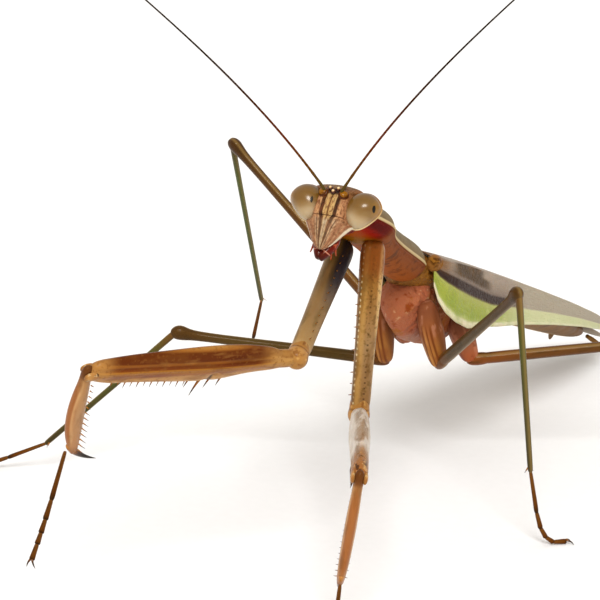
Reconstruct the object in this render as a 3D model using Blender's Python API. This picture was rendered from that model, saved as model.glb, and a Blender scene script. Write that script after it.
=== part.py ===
"""Chinese mantis standing on five feet with its right foreleg reaching out.

The mantis faces -Y, its left is +X and up is +Z. Lengths are in millimetres
and become metres when an object is made. A heading is an angle in degrees
from straight ahead towards the mantis's left. A pitch is an angle above level.
"""
import math

import bmesh
import bpy
from mathutils import Matrix, Vector

for old_object in list(bpy.data.objects):
    bpy.data.objects.remove(old_object, do_unlink=True)

METRES_PER_MM = 0.001
CLEARANCE = 0.15  # space between neighbouring pieces

# Trunk
WAIST_HEIGHT = 23.0  # joint of the long prothorax with the thorax
TRUNK_DROOP = 19.0  # slope of the thorax, abdomen and wings towards the tail
PROTHORAX_LENGTH = 27.0
PROTHORAX_HEADING = 12.0
PROTHORAX_PITCH = 23.5
WING_LENGTH = 60.0
WING_THICKNESS = 0.5
WING_STACK = 0.74  # depth of the right wing under the left one

# Head
HEAD_PLACE = (3.25, -0.17, -0.09)  # eye line from the prothorax: ahead, left, up
HEAD_HEADING = 10.0
HEAD_PITCH = 30.0
HEAD_ROLL = 3.0
EYE_SPREAD = 2.72  # centre of each eye from the middle of the head
EYE_HALF_SIZE = (1.6, 1.42, 1.66)  # across, front to back, up
ANTENNA_LENGTH = 30.0
ANTENNA_RADIUS = 0.27

# Legs
FORE_COXA_LENGTH = 14.5
FORE_COXA_ROOT = 1.7  # part of the coxa that reaches up into the prothorax
FORE_COXA_SPREAD = 1.55  # place of each coxa's top, left or right of the prothorax
FORE_COXA_LEAN = -0.3  # shift of both tops to the right, as the forebody twists
FORE_FEMUR_LENGTH = 19.8
FORE_TIBIA_LENGTH = 10.3
FORE_CLAW_LENGTH = 3.1
FORE_TARSUS_LENGTH = 10.2
MID_FEMUR_LENGTH = 21.8
MID_TIBIA_LENGTH = 17.5
MID_TARSUS_LENGTH = 9.4
HIND_FEMUR_LENGTH = 28.3
HIND_TIBIA_LENGTH = 28.0
HIND_TARSUS_LENGTH = 12.5
TARSUS_RADIUS = 0.33

# Heading and pitch of each leg segment, from the body outwards
FORE_LEFT = {"coxa": (12.5, -78.2), "femur": (26.6, 2.1), "tibia": (-103, -80.1), "tarsus": 20}
FORE_RIGHT = {"coxa": (11.4, -25.7), "femur": (-34.4, 2.8), "tibia": (-131.6, -59.1), "tarsus": (12, -46)}
MID_LEFT = {"femur": (47.2, 33.6), "tibia": (119.8, -83.6), "tarsus": 132}
MID_RIGHT = {"femur": (-61.1, 6.3), "tibia": (-55.2, -41.7), "tarsus": -66}
HIND_LEFT = {"femur": (117.6, 7.3), "tibia": (150.1, -22.6), "tarsus": 152}
HIND_RIGHT = {"femur": (-90.7, 41.1), "tibia": (-163.3, -52), "tarsus": -130}

# Lower ends of the mid and hind coxae, from the waist
MID_HIPS = {"left": (3.4, 1.66, -10.0), "right": (-2.75, 1.85, -10.6)}
HIND_HIPS = {"left": (3.89, 8.74, -11.2), "right": (-4.2, 9.2, -10.3)}

BROWN = (0.30, 0.15, 0.05)
RED_BROWN = (0.26, 0.09, 0.04)
PINK_BROWN = (0.34, 0.18, 0.12)
OLIVE = (0.17, 0.17, 0.05)
GREEN = (0.30, 0.45, 0.10)
GREY_BROWN = (0.32, 0.26, 0.20)
EYE_TAN = (0.50, 0.38, 0.24)
DARK = (0.05, 0.02, 0.015)


def aim(heading, pitch):
    """Unit vector of a heading and a pitch in degrees."""
    h = math.radians(heading)
    p = math.radians(pitch)
    return Vector((math.sin(h) * math.cos(p), -math.cos(h) * math.cos(p), math.sin(p)))


def across(direction, towards):
    """Unit vector at right angles to a direction, leaning as towards does."""
    return (towards - direction * towards.dot(direction)).normalized()


def between(rows, at):
    """Row of values at a position, blended between rows whose first entry is the position."""
    if at <= rows[0][0]:
        return rows[0][1:]
    for low, high in zip(rows, rows[1:]):
        if at <= high[0]:
            share = (at - low[0]) / (high[0] - low[0])
            return tuple(a + (b - a) * share for a, b in zip(low[1:], high[1:]))
    return rows[-1][1:]


def material(name, colour, roughness):
    made = bpy.data.materials.new(name)
    made.use_nodes = True
    shader = made.node_tree.nodes["Principled BSDF"]
    shader.inputs["Base Color"].default_value = (*colour, 1.0)
    shader.inputs["Roughness"].default_value = roughness
    shader.inputs["Metallic"].default_value = 0.0
    return made


def make_object(name, bm, colour=None, roughness=0.45):
    """Turn a mesh in millimetres into an object in metres; without a colour it is a helper."""
    bmesh.ops.scale(bm, vec=(METRES_PER_MM,) * 3, verts=bm.verts)
    bmesh.ops.recalc_face_normals(bm, faces=bm.faces)
    mesh = bpy.data.meshes.new(name)
    bm.to_mesh(mesh)
    bm.free()
    mesh.shade_smooth()
    made = bpy.data.objects.new(name, mesh)
    bpy.context.scene.collection.objects.link(made)
    if colour is None:
        made.hide_render = True
        made.display_type = "WIRE"
    else:
        mesh.materials.append(material(name, colour, roughness))
    return made


def loft(stations, sides, pinch=0.0):
    """Closed tube through stations of (centre, side, rise, half width, half height).

    Pinch is the share of the width that is lost at the lowest point of a section.
    """
    bm = bmesh.new()
    turn = bm.verts.layers.float.new("turn")
    ring = bmesh.ops.create_circle(bm, segments=sides, radius=1.0)["verts"]
    for index, vertex in enumerate(ring):
        vertex[turn] = (index + 0.5) * math.tau / sides
    edges = list(bm.edges)
    end_loops = [edges]
    for number, (centre, side, rise, half_width, half_height) in enumerate(stations):
        if number:
            grown = bmesh.ops.extrude_edge_only(bm, edges=edges)["geom"]
            ring = [item for item in grown if isinstance(item, bmesh.types.BMVert)]
            members = set(ring)
            edges = [
                item for item in grown
                if isinstance(item, bmesh.types.BMEdge) and members.issuperset(item.verts)
            ]
        for vertex in ring:
            narrowing = 1.0 - pinch * (1.0 - math.sin(vertex[turn])) * 0.5
            sideways = side * half_width * narrowing * math.cos(vertex[turn])
            upwards = rise * half_height * math.sin(vertex[turn])
            vertex.co = centre + sideways + upwards
    end_loops.append(edges)
    caps = [bmesh.ops.contextual_create(bm, geom=loop)["faces"][0] for loop in end_loops]
    bmesh.ops.poke(bm, faces=caps)
    return bm


def limb(start, direction, rise, profile, sides, grow=0.0):
    """Straight tube whose profile rows are (distance, half width, half height, lift)."""
    side = direction.cross(rise)
    stations = []
    for distance, half_width, half_height, lift in profile:
        centre = start + direction * distance + rise * lift
        stations.append((centre, side, rise, half_width + grow, half_height + grow))
    if grow:
        first, last = stations[0], stations[-1]
        stations[0] = (first[0] - direction * grow, *first[1:])
        stations[-1] = (last[0] + direction * grow, *last[1:])
    return loft(stations, sides)


def chain(points, radii, side, sides, grow=0.0):
    """Tube along a bent path, with one radius at each of its points."""
    stations = []
    for index, point in enumerate(points):
        before = points[max(index - 1, 0)]
        after = points[min(index + 1, len(points) - 1)]
        direction = (after - before).normalized()
        level_side = across(direction, side)
        rise = level_side.cross(direction)
        stations.append((point, level_side, rise, radii[index] + grow, radii[index] + grow))
    if grow:
        heel = (points[0] - points[1]).normalized()
        stations[0] = (points[0] + heel * grow, *stations[0][1:])
    return loft(stations, sides)


def ellipsoid(centre, axes, half_sizes, segments, rings, grow=0.0):
    bm = bmesh.new()
    bmesh.ops.create_uvsphere(bm, u_segments=segments, v_segments=rings, radius=1.0)
    for vertex in bm.verts:
        place = centre.copy()
        for axis, half_size, part in zip(axes, half_sizes, vertex.co.copy()):
            place += axis * (half_size + grow) * part
        vertex.co = place
    return bm


def combine(target, helper, operation):
    """Boolean of a helper with a target: DIFFERENCE cuts it away and UNION joins it on."""
    modifier = target.modifiers.new(helper.name, "BOOLEAN")
    modifier.operation = operation
    modifier.solver = "EXACT"
    modifier.use_self = operation == "UNION"
    modifier.object = helper


# ---------------------------------------------------------------- trunk
TAILWARD = Vector((0.0, math.cos(math.radians(TRUNK_DROOP)), -math.sin(math.radians(TRUNK_DROOP))))
TRUNK_UP = Vector((0.0, math.sin(math.radians(TRUNK_DROOP)), math.cos(math.radians(TRUNK_DROOP))))
LEFTWARD = Vector((1.0, 0.0, 0.0))
WAIST = Vector((0.0, 0.0, WAIST_HEIGHT))


def on_trunk(along, sideways, up):
    """Point of the thorax and abdomen, measured from the waist joint."""
    return WAIST + TAILWARD * along + LEFTWARD * sideways + TRUNK_UP * up


def trunk_piece(rows, sides, pinch=0.0):
    """Tube along the trunk whose rows are (along, middle height, half width, half height)."""
    stations = [(on_trunk(a, 0.0, c), LEFTWARD, TRUNK_UP, w, h) for a, c, w, h in rows]
    return loft(stations, sides, pinch)


thorax = make_object("thorax", trunk_piece([
    (-1.5, -3.9, 0.9, 0.9),
    (-1.1, -3.85, 2.1, 1.75),
    (-0.2, -3.75, 2.9, 2.4),
    (1.0, -3.55, 3.3, 3.25),
    (2.4, -3.4, 3.5, 3.85),
    (5.0, -3.25, 3.4, 3.98),
    (9.0, -3.3, 3.4, 3.9),
    (12.0, -3.0, 3.2, 3.35),
    (13.2, -2.5, 2.7, 2.6),
    (13.7, -2.3, 1.6, 1.5),
], 14, 0.5), PINK_BROWN)

make_object("abdomen", trunk_piece([
    (13.9, -2.2, 1.5, 1.3),
    (14.4, -2.1, 2.6, 2.05),
    (17.0, -1.75, 3.2, 2.1),
    (21.0, -1.45, 3.4, 1.8),
    (27.0, -1.2, 3.5, 1.6),
    (34.0, -1.15, 3.4, 1.5),
    (41.0, -1.15, 3.0, 1.4),
    (46.0, -1.2, 2.5, 1.25),
    (50.0, -1.27, 1.9, 0.98),
    (52.3, -1.3, 1.1, 0.65),
    (52.9, -1.3, 0.5, 0.35),
], 14), BROWN)

for side_name, sign in (("left", 1.0), ("right", -1.0)):
    cercus_start = on_trunk(50.6, sign * 2.2, -1.75)
    cercus_aim = (TAILWARD + LEFTWARD * sign * 0.42 - TRUNK_UP * 0.3).normalized()
    cercus = limb(cercus_start, cercus_aim, across(cercus_aim, TRUNK_UP), [
        (0.0, 0.22, 0.22, 0.0),
        (0.3, 0.36, 0.36, 0.0),
        (2.2, 0.36, 0.36, 0.0),
        (3.4, 0.26, 0.26, 0.0),
    ], 6)
    make_object("cercus_" + side_name, cercus, BROWN)

PROTHORAX_AIM = aim(PROTHORAX_HEADING, PROTHORAX_PITCH)
PROTHORAX_LEFT = aim(PROTHORAX_HEADING + 90.0, 0.0)
PROTHORAX_UP = PROTHORAX_AIM.cross(PROTHORAX_LEFT)
PROTHORAX_ROWS = [
    (0.2, 1.5, 1.3, 0.2),
    (0.6, 2.3, 2.0, 0.3),
    (3.0, 2.5, 2.15, 0.3),
    (8.0, 2.1, 1.95, 0.25),
    (13.5, 1.95, 1.9, 0.25),
    (17.0, 2.3, 2.0, 0.25),
    (20.3, 3.3, 2.1, 0.25),
    (22.5, 3.15, 1.85, 0.25),
    (25.0, 2.6, 1.7, 0.1),
    (26.6, 2.1, 1.55, 0.05),
    (27.0, 1.5, 1.2, 0.0),
]
prothorax = make_object("prothorax", limb(WAIST, PROTHORAX_AIM, PROTHORAX_UP, PROTHORAX_ROWS, 16), RED_BROWN)
prothorax_room = make_object(
    "prothorax_room", limb(WAIST, PROTHORAX_AIM, PROTHORAX_UP, PROTHORAX_ROWS, 16, CLEARANCE),
)
combine(thorax, prothorax_room, "DIFFERENCE")


# ---------------------------------------------------------------- wings
# along, half width, drop of the leading edge, height of the top, reach past the middle
WING_ROWS = [
    (0.2, 3.0, 1.4, 2.05, -0.5),
    (0.9, 3.4, 2.8, 2.05, 0.0),
    (1.8, 4.0, 3.8, 2.05, 0.3),
    (3.7, 4.5, 4.5, 2.1, 0.9),
    (6.8, 4.6, 4.8, 2.15, 1.5),
    (10.2, 4.7, 4.3, 2.15, 1.9),
    (14.0, 4.9, 3.85, 2.12, 2.2),
    (20.0, 5.1, 3.0, 2.05, 2.7),
    (30.0, 5.1, 2.0, 1.9, 3.0),
    (40.0, 4.7, 1.25, 1.75, 2.8),
    (49.0, 3.9, 0.8, 1.55, 2.2),
    (55.0, 2.8, 0.6, 1.35, 1.5),
    (58.5, 1.7, 0.5, 1.15, 0.8),
    (60.0, 0.8, 0.4, 1.05, 0.3),
]
WING_SIDE_SHARE = 0.32  # share of the wing's width that hangs down the flank
WING_ARCH = 0.75
WING_FLARE = 0.45


def wing_point(sign, along, share, stacked):
    """Outer face of a folded wing, from its leading edge (share 0) to its rear edge (share 1)."""
    half_width, drop, top, reach = between(WING_ROWS, along)
    shoulder = top - WING_ARCH
    if share < WING_SIDE_SHARE:
        up_flank = share / WING_SIDE_SHARE
        height = -drop + (shoulder + drop) * up_flank
        sideways = half_width + WING_FLARE * (1.0 - up_flank) ** 1.5
        return on_trunk(along, sign * sideways, height)
    inward = (share - WING_SIDE_SHARE) / (1.0 - WING_SIDE_SHARE)
    sideways = half_width - (half_width + reach) * inward
    height = top - WING_ARCH * (sideways / half_width) ** 2
    if stacked:
        covered = min(max((reach + 1.7 - sideways) / 1.2, 0.0), 1.0)
        height -= WING_STACK * covered
    return on_trunk(along, sign * sideways, height)


def wing(name, sign, stacked, colour):
    bm = bmesh.new()
    bmesh.ops.create_grid(bm, x_segments=14, y_segments=10, size=0.5)
    for vertex in bm.verts:
        run = vertex.co.x + 0.5
        share = vertex.co.y + 0.5
        along = WING_ROWS[0][0] + (WING_LENGTH - WING_ROWS[0][0]) * run ** 1.25
        vertex.co = wing_point(sign, along, share, stacked)
    made = make_object(name, bm, colour, 0.4)
    if made.data.polygons[0].normal.dot(TRUNK_UP) < 0.0:
        made.data.flip_normals()
    solid = made.modifiers.new("thickness", "SOLIDIFY")
    solid.thickness = WING_THICKNESS * METRES_PER_MM
    solid.offset = -1.0
    return made


wing("tegmen_left", 1.0, False, GREEN)
wing("tegmen_right", -1.0, True, GREY_BROWN)


def hindwing_tip():
    """Folded rear wings, where they show behind the abdomen under the front pair."""
    rows = [(53.6, 1.7, -0.7), (56.0, 1.5, -0.8), (59.0, 1.1, -0.9), (61.4, 0.75, -0.95), (62.2, 0.4, -0.95)]
    stations = [(on_trunk(a, 0.0, h), LEFTWARD, TRUNK_UP, w, 0.26) for a, w, h in rows]
    return loft(stations, 8)


make_object("hindwings", hindwing_tip(), GREY_BROWN)


# ---------------------------------------------------------------- head
HEAD_AIM = aim(HEAD_HEADING, HEAD_PITCH)
level_left = aim(HEAD_HEADING + 90.0, 0.0)
level_up = HEAD_AIM.cross(level_left)
roll = math.radians(HEAD_ROLL)
HEAD_LEFT = level_left * math.cos(roll) - level_up * math.sin(roll)
HEAD_UP = level_up * math.cos(roll) + level_left * math.sin(roll)
PROTHORAX_FRONT = WAIST + PROTHORAX_AIM * PROTHORAX_LENGTH
EYE_LINE = (
    PROTHORAX_FRONT + PROTHORAX_AIM * HEAD_PLACE[0] + PROTHORAX_LEFT * HEAD_PLACE[1]
    + PROTHORAX_UP * HEAD_PLACE[2]
)


def on_head(sideways, ahead, up):
    """Point of the head, measured from the middle of the line between the eyes."""
    return EYE_LINE + HEAD_LEFT * sideways + HEAD_AIM * ahead + HEAD_UP * up


# height, middle depth, half width, half depth
HEAD_ROWS = [
    (2.17, -0.5, 0.9, 0.3),
    (2.0, -0.44, 1.8, 0.62),
    (1.8, -0.36, 2.25, 0.9),
    (1.45, -0.25, 2.45, 1.2),
    (0.7, -0.1, 2.65, 1.5),
    (-0.2, 0.05, 2.75, 1.6),
    (-1.1, 0.25, 2.65, 1.5),
    (-1.8, 0.5, 2.2, 1.3),
    (-2.4, 0.75, 1.75, 1.1),
    (-3.05, 0.98, 1.38, 0.86),
    (-3.6, 1.12, 1.02, 0.66),
    (-4.1, 1.3, 0.62, 0.4),
    (-4.35, 1.38, 0.3, 0.2),
]


def head_shape(grow=0.0):
    stations = []
    for up, middle, half_width, half_depth in HEAD_ROWS:
        stations.append((on_head(0.0, middle, up), HEAD_LEFT, HEAD_AIM, half_width + grow, half_depth + grow))
    return loft(stations, 18)


head = make_object("head", head_shape(), BROWN)

for side_name, sign in (("left", 1.0), ("right", -1.0)):
    eye_axes = (
        (HEAD_LEFT - HEAD_AIM * sign * 0.12 + HEAD_UP * sign * 0.1).normalized(),
        HEAD_AIM,
        HEAD_UP,
    )
    eye_centre = on_head(sign * EYE_SPREAD, 0.25, 0.0)
    eye = ellipsoid(eye_centre, eye_axes, EYE_HALF_SIZE, 16, 10)
    make_object("eye_" + side_name, eye, EYE_TAN, 0.2)
    socket = ellipsoid(eye_centre, eye_axes, EYE_HALF_SIZE, 16, 10, CLEARANCE)
    combine(head, make_object("eye_socket_" + side_name, socket), "DIFFERENCE")

# height, depth, half width, half depth
MOUTH_ROWS = [
    (-2.1, -0.6, 0.8, 0.4),
    (-2.6, -0.45, 1.05, 0.6),
    (-3.5, -0.1, 0.95, 0.65),
    (-4.15, 0.3, 0.85, 0.55),
    (-4.5, 0.5, 0.5, 0.4),
]
mouth = make_object("mouthparts", loft([
    (on_head(0.0, ahead, up), HEAD_LEFT, HEAD_AIM, half_width, half_depth)
    for up, ahead, half_width, half_depth in MOUTH_ROWS
], 10), RED_BROWN)
head_room = make_object("head_room", head_shape(CLEARANCE))
combine(mouth, head_room, "DIFFERENCE")

neck_start = PROTHORAX_FRONT - PROTHORAX_UP * 0.25
neck_end = on_head(0.0, -1.75, -0.35)
neck_aim = (neck_end - neck_start).normalized()
neck_span = (neck_end - neck_start).length
neck = make_object("neck", limb(neck_start, neck_aim, across(neck_aim, PROTHORAX_UP), [
    (0.0, 1.35, 1.1, 0.0),
    (neck_span * 0.4, 1.6, 1.5, -0.1),
    (neck_span, 1.3, 1.25, 0.0),
], 12), RED_BROWN)
combine(neck, head_room, "DIFFERENCE")
combine(neck, prothorax_room, "DIFFERENCE")


def antenna(sign, heading, pitch):
    """Feeler that leaves the face steeply and bends outwards."""
    joints = 9
    step = ANTENNA_LENGTH / joints
    here = on_head(sign * 0.74, 1.55, 0.98)
    points = [here]
    for joint in range(joints):
        left_to_go = 1.0 - (joint + 0.5) / joints
        here = here + aim(heading, pitch + 14.5 * left_to_go ** 2) * step
        points.append(here)
    radii = [ANTENNA_RADIUS] * len(points)
    return chain(points, radii, HEAD_LEFT, 6)


make_object("antenna_left", antenna(1.0, 97.0, 44.3), DARK)
make_object("antenna_right", antenna(-1.0, -60.0, 39.7), DARK)


# ---------------------------------------------------------------- legs
def tapered(length, rows):
    """Profile rows given as shares of a length, with plain distances at the rounded ends."""
    return [(share * length, *sizes) for share, *sizes in rows]


FORE_COXA_ROWS = [
    (-FORE_COXA_ROOT / FORE_COXA_LENGTH, 0.7, 0.8, 0.0),
    (-0.08, 1.1, 1.25, 0.0),
    (0.0, 1.2, 1.35, 0.0),
    (0.2, 1.1, 1.28, 0.0),
    (0.6, 0.95, 1.08, 0.0),
    (0.88, 0.92, 1.02, 0.0),
    (0.96, 0.8, 0.9, 0.0),
    (1.0, 0.5, 0.5, 0.0),
]
FORE_FEMUR_ROWS = [
    (0.0, 0.45, 0.45, 0.0),
    (0.03, 0.72, 0.8, 0.0),
    (0.09, 0.75, 0.95, 0.05),
    (0.16, 0.85, 1.4, 0.2),
    (0.28, 0.95, 1.75, 0.3),
    (0.4, 1.0, 1.9, 0.22),
    (0.5, 0.98, 1.87, 0.22),
    (0.65, 0.88, 1.66, 0.25),
    (0.8, 0.8, 1.46, 0.25),
    (0.93, 0.78, 1.22, 0.12),
    (0.985, 0.6, 0.9, 0.0),
    (1.0, 0.35, 0.4, 0.0),
]
FORE_TIBIA_ROWS = [
    (-0.055, 0.3, 0.3, 0.0),
    (-0.02, 0.45, 0.62, 0.05),
    (0.05, 0.48, 0.68, 0.12),
    (0.2, 0.53, 0.75, 0.3),
    (0.5, 0.52, 0.8, 0.35),
    (0.8, 0.46, 0.7, 0.24),
    (0.96, 0.4, 0.54, 0.06),
    (1.0, 0.25, 0.3, 0.0),
]
WALKING_COXA_ROWS = [
    (0.0, 0.7, 0.8, 0.0),
    (0.08, 1.1, 1.25, 0.0),
    (0.5, 1.2, 1.35, 0.0),
    (0.8, 1.05, 1.15, 0.0),
    (0.95, 0.85, 0.9, 0.0),
    (1.0, 0.6, 0.6, 0.0),
]


def walking_femur_rows(base, knee):
    """Slim upper leg with a swollen base and a small knob at the knee."""
    return [
        (0.0, 0.4, 0.4, 0.0),
        (0.02, base * 0.95, base, 0.0),
        (0.1, base * 0.9, base, 0.0),
        (0.5, knee * 0.85, knee * 0.95, 0.0),
        (0.92, knee * 0.75, knee * 0.85, 0.0),
        (0.975, knee, knee * 1.15, 0.0),
        (1.0, knee * 0.6, knee * 0.6, 0.0),
    ]


def walking_tibia_rows(knee, ankle):
    return [
        (-0.015, 0.2, 0.2, 0.0),
        (0.0, knee, knee, 0.0),
        (0.05, knee * 0.95, knee, 0.0),
        (0.5, (knee + ankle) * 0.5, (knee + ankle) * 0.5, 0.0),
        (0.97, ankle, ankle * 1.1, 0.0),
        (1.0, ankle * 0.6, ankle * 0.6, 0.0),
    ]


def spine(start, direction, length, radius):
    """Cone that stands in the leg's surface, as a matrix and its sizes for create_cone."""
    middle = start + direction * (length * 0.5)
    turn = direction.to_track_quat("Z", "Y").to_matrix().to_4x4()
    return Matrix.Translation(middle) @ turn, length, radius


def spine_set(name, spines):
    bm = bmesh.new()
    for matrix, length, radius in spines:
        bmesh.ops.create_cone(
            bm, cap_ends=True, segments=4, radius1=radius, radius2=0.05, depth=length, matrix=matrix,
        )
    return make_object(name, bm)


def femur_spines(start, direction, rise, side, length):
    """Three long spines beside the claw's groove, then a double row of short ones to the knee."""
    spines = []
    lean = (direction * 0.35 - rise).normalized()
    for share, spine_length in ((0.37, 1.7), (0.425, 2.6), (0.49, 2.1)):
        root = start + direction * share * length - rise * 1.3 + side * 0.3
        spines.append(spine(root, lean, spine_length, 0.3))
    count = 7
    for number in range(count):
        share = 0.54 + 0.33 * number / (count - 1)
        depth = 1.3 - 0.3 * min((share - 0.5) / 0.25, 1.0)
        spine_length = 1.15 if number % 2 else 0.85
        for row in (-0.36, 0.36):
            root = start + direction * share * length - rise * (depth - 0.1) + side * row
            spines.append(spine(root, (lean + side * row * 0.4).normalized(), spine_length, 0.27))
    return spines


def tibia_spines(start, direction, rise, side, length):
    """Double row of spines on the edge that closes on the femur, longer towards the claw."""
    spines = []
    count = 8
    lean = (direction * 0.55 - rise).normalized()
    for number in range(count):
        share = 0.2 + 0.7 * number / (count - 1)
        spine_length = 0.85 + 0.55 * share
        for row in (-0.2, 0.2):
            root = start + direction * share * length - rise * 0.2 + side * row
            spines.append(spine(root, (lean + side * row * 1.2).normalized(), spine_length, 0.26))
    return spines


def claw(tip_of_tibia, direction, rise):
    """Hooked end of the fore tibia, bent towards the femur."""
    points = []
    here = tip_of_tibia - direction * 0.5
    bends = 5
    for bend in range(bends + 1):
        points.append(here)
        angle = math.radians(50.0 + 32.0 * bend / bends)
        here = here + (direction * math.cos(angle) - rise * math.sin(angle)) * FORE_CLAW_LENGTH / bends
    radii = [0.42 - 0.052 * bend for bend in range(bends + 1)]
    return chain(points, radii, direction.cross(rise), 8)


def foot(ankle, heading, length, grow=0.0):
    """Five tarsus joints that come down from the ankle and lie flat at the end."""
    shares = (0.46, 0.18, 0.12, 0.1, 0.14)
    eases = (1.0, 0.93, 0.75, 0.45, 0.0)
    pad_height = TARSUS_RADIUS * math.cos(math.pi / 8.0)
    shallow, steep = 0.0, 88.0
    for _ in range(40):
        pitch = (shallow + steep) * 0.5
        drop = sum(length * s * math.sin(math.radians(pitch * e)) for s, e in zip(shares, eases))
        if drop < ankle.z - pad_height:
            shallow = pitch
        else:
            steep = pitch
    points = [ankle]
    for share, ease in zip(shares, eases):
        points.append(points[-1] + aim(heading, -pitch * ease) * length * share)
    points[-1].z = pad_height
    points[-2].z = pad_height
    radii = [TARSUS_RADIUS * 0.8] + [TARSUS_RADIUS] * 5
    return chain(points, radii, aim(heading + 90.0, 0.0), 8, grow)


def lifted_foot(ankle, heading, pitch, length, grow=0.0):
    """Foot held clear of the floor, nearly straight."""
    points = [ankle]
    for number, share in enumerate((0.46, 0.18, 0.12, 0.1, 0.14)):
        points.append(points[-1] + aim(heading - 3.0 * number, pitch - 2.0 * number) * length * share)
    radii = [TARSUS_RADIUS * 0.8] + [TARSUS_RADIUS] * 5
    return chain(points, radii, aim(heading + 90.0, 0.0), 8, grow)


def leg_frame(first, second):
    """Outward directions of two segments that meet at a knee: back of the first, back of the second."""
    return across(first, -second), across(second, first)


def fore_leg(side_name, sign, pose, on_floor):
    coxa_start = (
        PROTHORAX_FRONT - PROTHORAX_AIM * 7.0
        + PROTHORAX_LEFT * (sign * FORE_COXA_SPREAD + FORE_COXA_LEAN) - PROTHORAX_UP * 2.6
    )
    coxa_aim = aim(*pose["coxa"])
    femur_aim = aim(*pose["femur"])
    tibia_aim = aim(*pose["tibia"])
    coxa_rise = across(coxa_aim, PROTHORAX_AIM)
    femur_rise, tibia_rise = leg_frame(femur_aim, tibia_aim)
    hip = coxa_start + coxa_aim * FORE_COXA_LENGTH
    knee = hip + femur_aim * FORE_FEMUR_LENGTH
    tibia_tip = knee + tibia_aim * FORE_TIBIA_LENGTH
    ankle = tibia_tip - tibia_aim * 0.35 + tibia_rise * 0.62
    coxa_profile = tapered(FORE_COXA_LENGTH, FORE_COXA_ROWS)
    femur_profile = tapered(FORE_FEMUR_LENGTH, FORE_FEMUR_ROWS)
    tibia_profile = tapered(FORE_TIBIA_LENGTH, FORE_TIBIA_ROWS)

    coxa = make_object("fore_coxa_" + side_name, limb(coxa_start, coxa_aim, coxa_rise, coxa_profile, 10), BROWN)
    femur = make_object("fore_femur_" + side_name, limb(hip, femur_aim, femur_rise, femur_profile, 12), BROWN)
    tibia = make_object("fore_tibia_" + side_name, limb(knee, tibia_aim, tibia_rise, tibia_profile, 10), BROWN)
    coxa_room = limb(coxa_start, coxa_aim, coxa_rise, coxa_profile, 10, CLEARANCE)
    combine(prothorax, make_object("fore_coxa_room_" + side_name, coxa_room), "DIFFERENCE")
    femur_room = limb(hip, femur_aim, femur_rise, femur_profile, 10, CLEARANCE)
    combine(coxa, make_object("fore_femur_room_" + side_name, femur_room), "DIFFERENCE")

    hooked = make_object("fore_claw_" + side_name, claw(tibia_tip, tibia_aim, tibia_rise))
    combine(tibia, hooked, "UNION")
    rows = tibia_spines(knee, tibia_aim, tibia_rise, tibia_aim.cross(tibia_rise), FORE_TIBIA_LENGTH)
    combine(tibia, spine_set("fore_tibia_spines_" + side_name, rows), "UNION")
    rows = femur_spines(hip, femur_aim, femur_rise, femur_aim.cross(femur_rise), FORE_FEMUR_LENGTH)
    combine(femur, spine_set("fore_femur_spines_" + side_name, rows), "UNION")
    tibia_room = limb(knee, tibia_aim, tibia_rise, tibia_profile, 10, CLEARANCE)
    combine(femur, make_object("fore_tibia_room_" + side_name, tibia_room), "DIFFERENCE")

    if on_floor:
        tarsus = foot(ankle, pose["tarsus"], FORE_TARSUS_LENGTH)
        tarsus_room = foot(ankle, pose["tarsus"], FORE_TARSUS_LENGTH, CLEARANCE)
    else:
        tarsus = lifted_foot(ankle, *pose["tarsus"], FORE_TARSUS_LENGTH)
        tarsus_room = lifted_foot(ankle, *pose["tarsus"], FORE_TARSUS_LENGTH, CLEARANCE)
    make_object("fore_tarsus_" + side_name, tarsus, RED_BROWN)
    combine(tibia, make_object("fore_tarsus_room_" + side_name, tarsus_room), "DIFFERENCE")


def walking_leg(pair, side_name, pose, coxa_start, hip, lengths, sizes, colours):
    """Mid or hind leg from its coxa to the flat end of its foot."""
    femur_length, tibia_length, tarsus_length = lengths
    femur_base, knee_size, tibia_top, tibia_end = sizes
    label = side_name
    coxa_aim = (hip - coxa_start).normalized()
    coxa_rise = across(coxa_aim, TAILWARD)
    coxa_profile = tapered((hip - coxa_start).length, WALKING_COXA_ROWS)
    femur_aim = aim(*pose["femur"])
    tibia_aim = aim(*pose["tibia"])
    femur_rise, tibia_rise = leg_frame(femur_aim, tibia_aim)
    knee = hip + femur_aim * femur_length
    ankle = knee + tibia_aim * tibia_length
    femur_profile = tapered(femur_length, walking_femur_rows(femur_base, knee_size))
    tibia_profile = tapered(tibia_length, walking_tibia_rows(tibia_top, tibia_end))

    coxa = make_object(f"{pair}_coxa_{label}", limb(coxa_start, coxa_aim, coxa_rise, coxa_profile, 10), RED_BROWN)
    femur = make_object(f"{pair}_femur_{label}", limb(hip, femur_aim, femur_rise, femur_profile, 8), colours[0])
    tibia = make_object(f"{pair}_tibia_{label}", limb(knee, tibia_aim, tibia_rise, tibia_profile, 8), colours[1])
    coxa_room = limb(coxa_start, coxa_aim, coxa_rise, coxa_profile, 10, CLEARANCE)
    combine(thorax, make_object(f"{pair}_coxa_room_{label}", coxa_room), "DIFFERENCE")
    femur_room = limb(hip, femur_aim, femur_rise, femur_profile, 8, CLEARANCE)
    combine(coxa, make_object(f"{pair}_femur_room_{label}", femur_room), "DIFFERENCE")
    tibia_room = limb(knee, tibia_aim, tibia_rise, tibia_profile, 8, CLEARANCE)
    combine(femur, make_object(f"{pair}_tibia_room_{label}", tibia_room), "DIFFERENCE")
    make_object(f"{pair}_tarsus_{label}", foot(ankle, pose["tarsus"], tarsus_length), DARK)
    tarsus_room = foot(ankle, pose["tarsus"], tarsus_length, CLEARANCE)
    combine(tibia, make_object(f"{pair}_tarsus_room_{label}", tarsus_room), "DIFFERENCE")


fore_leg("left", 1.0, FORE_LEFT, True)
fore_leg("right", -1.0, FORE_RIGHT, False)

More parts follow.
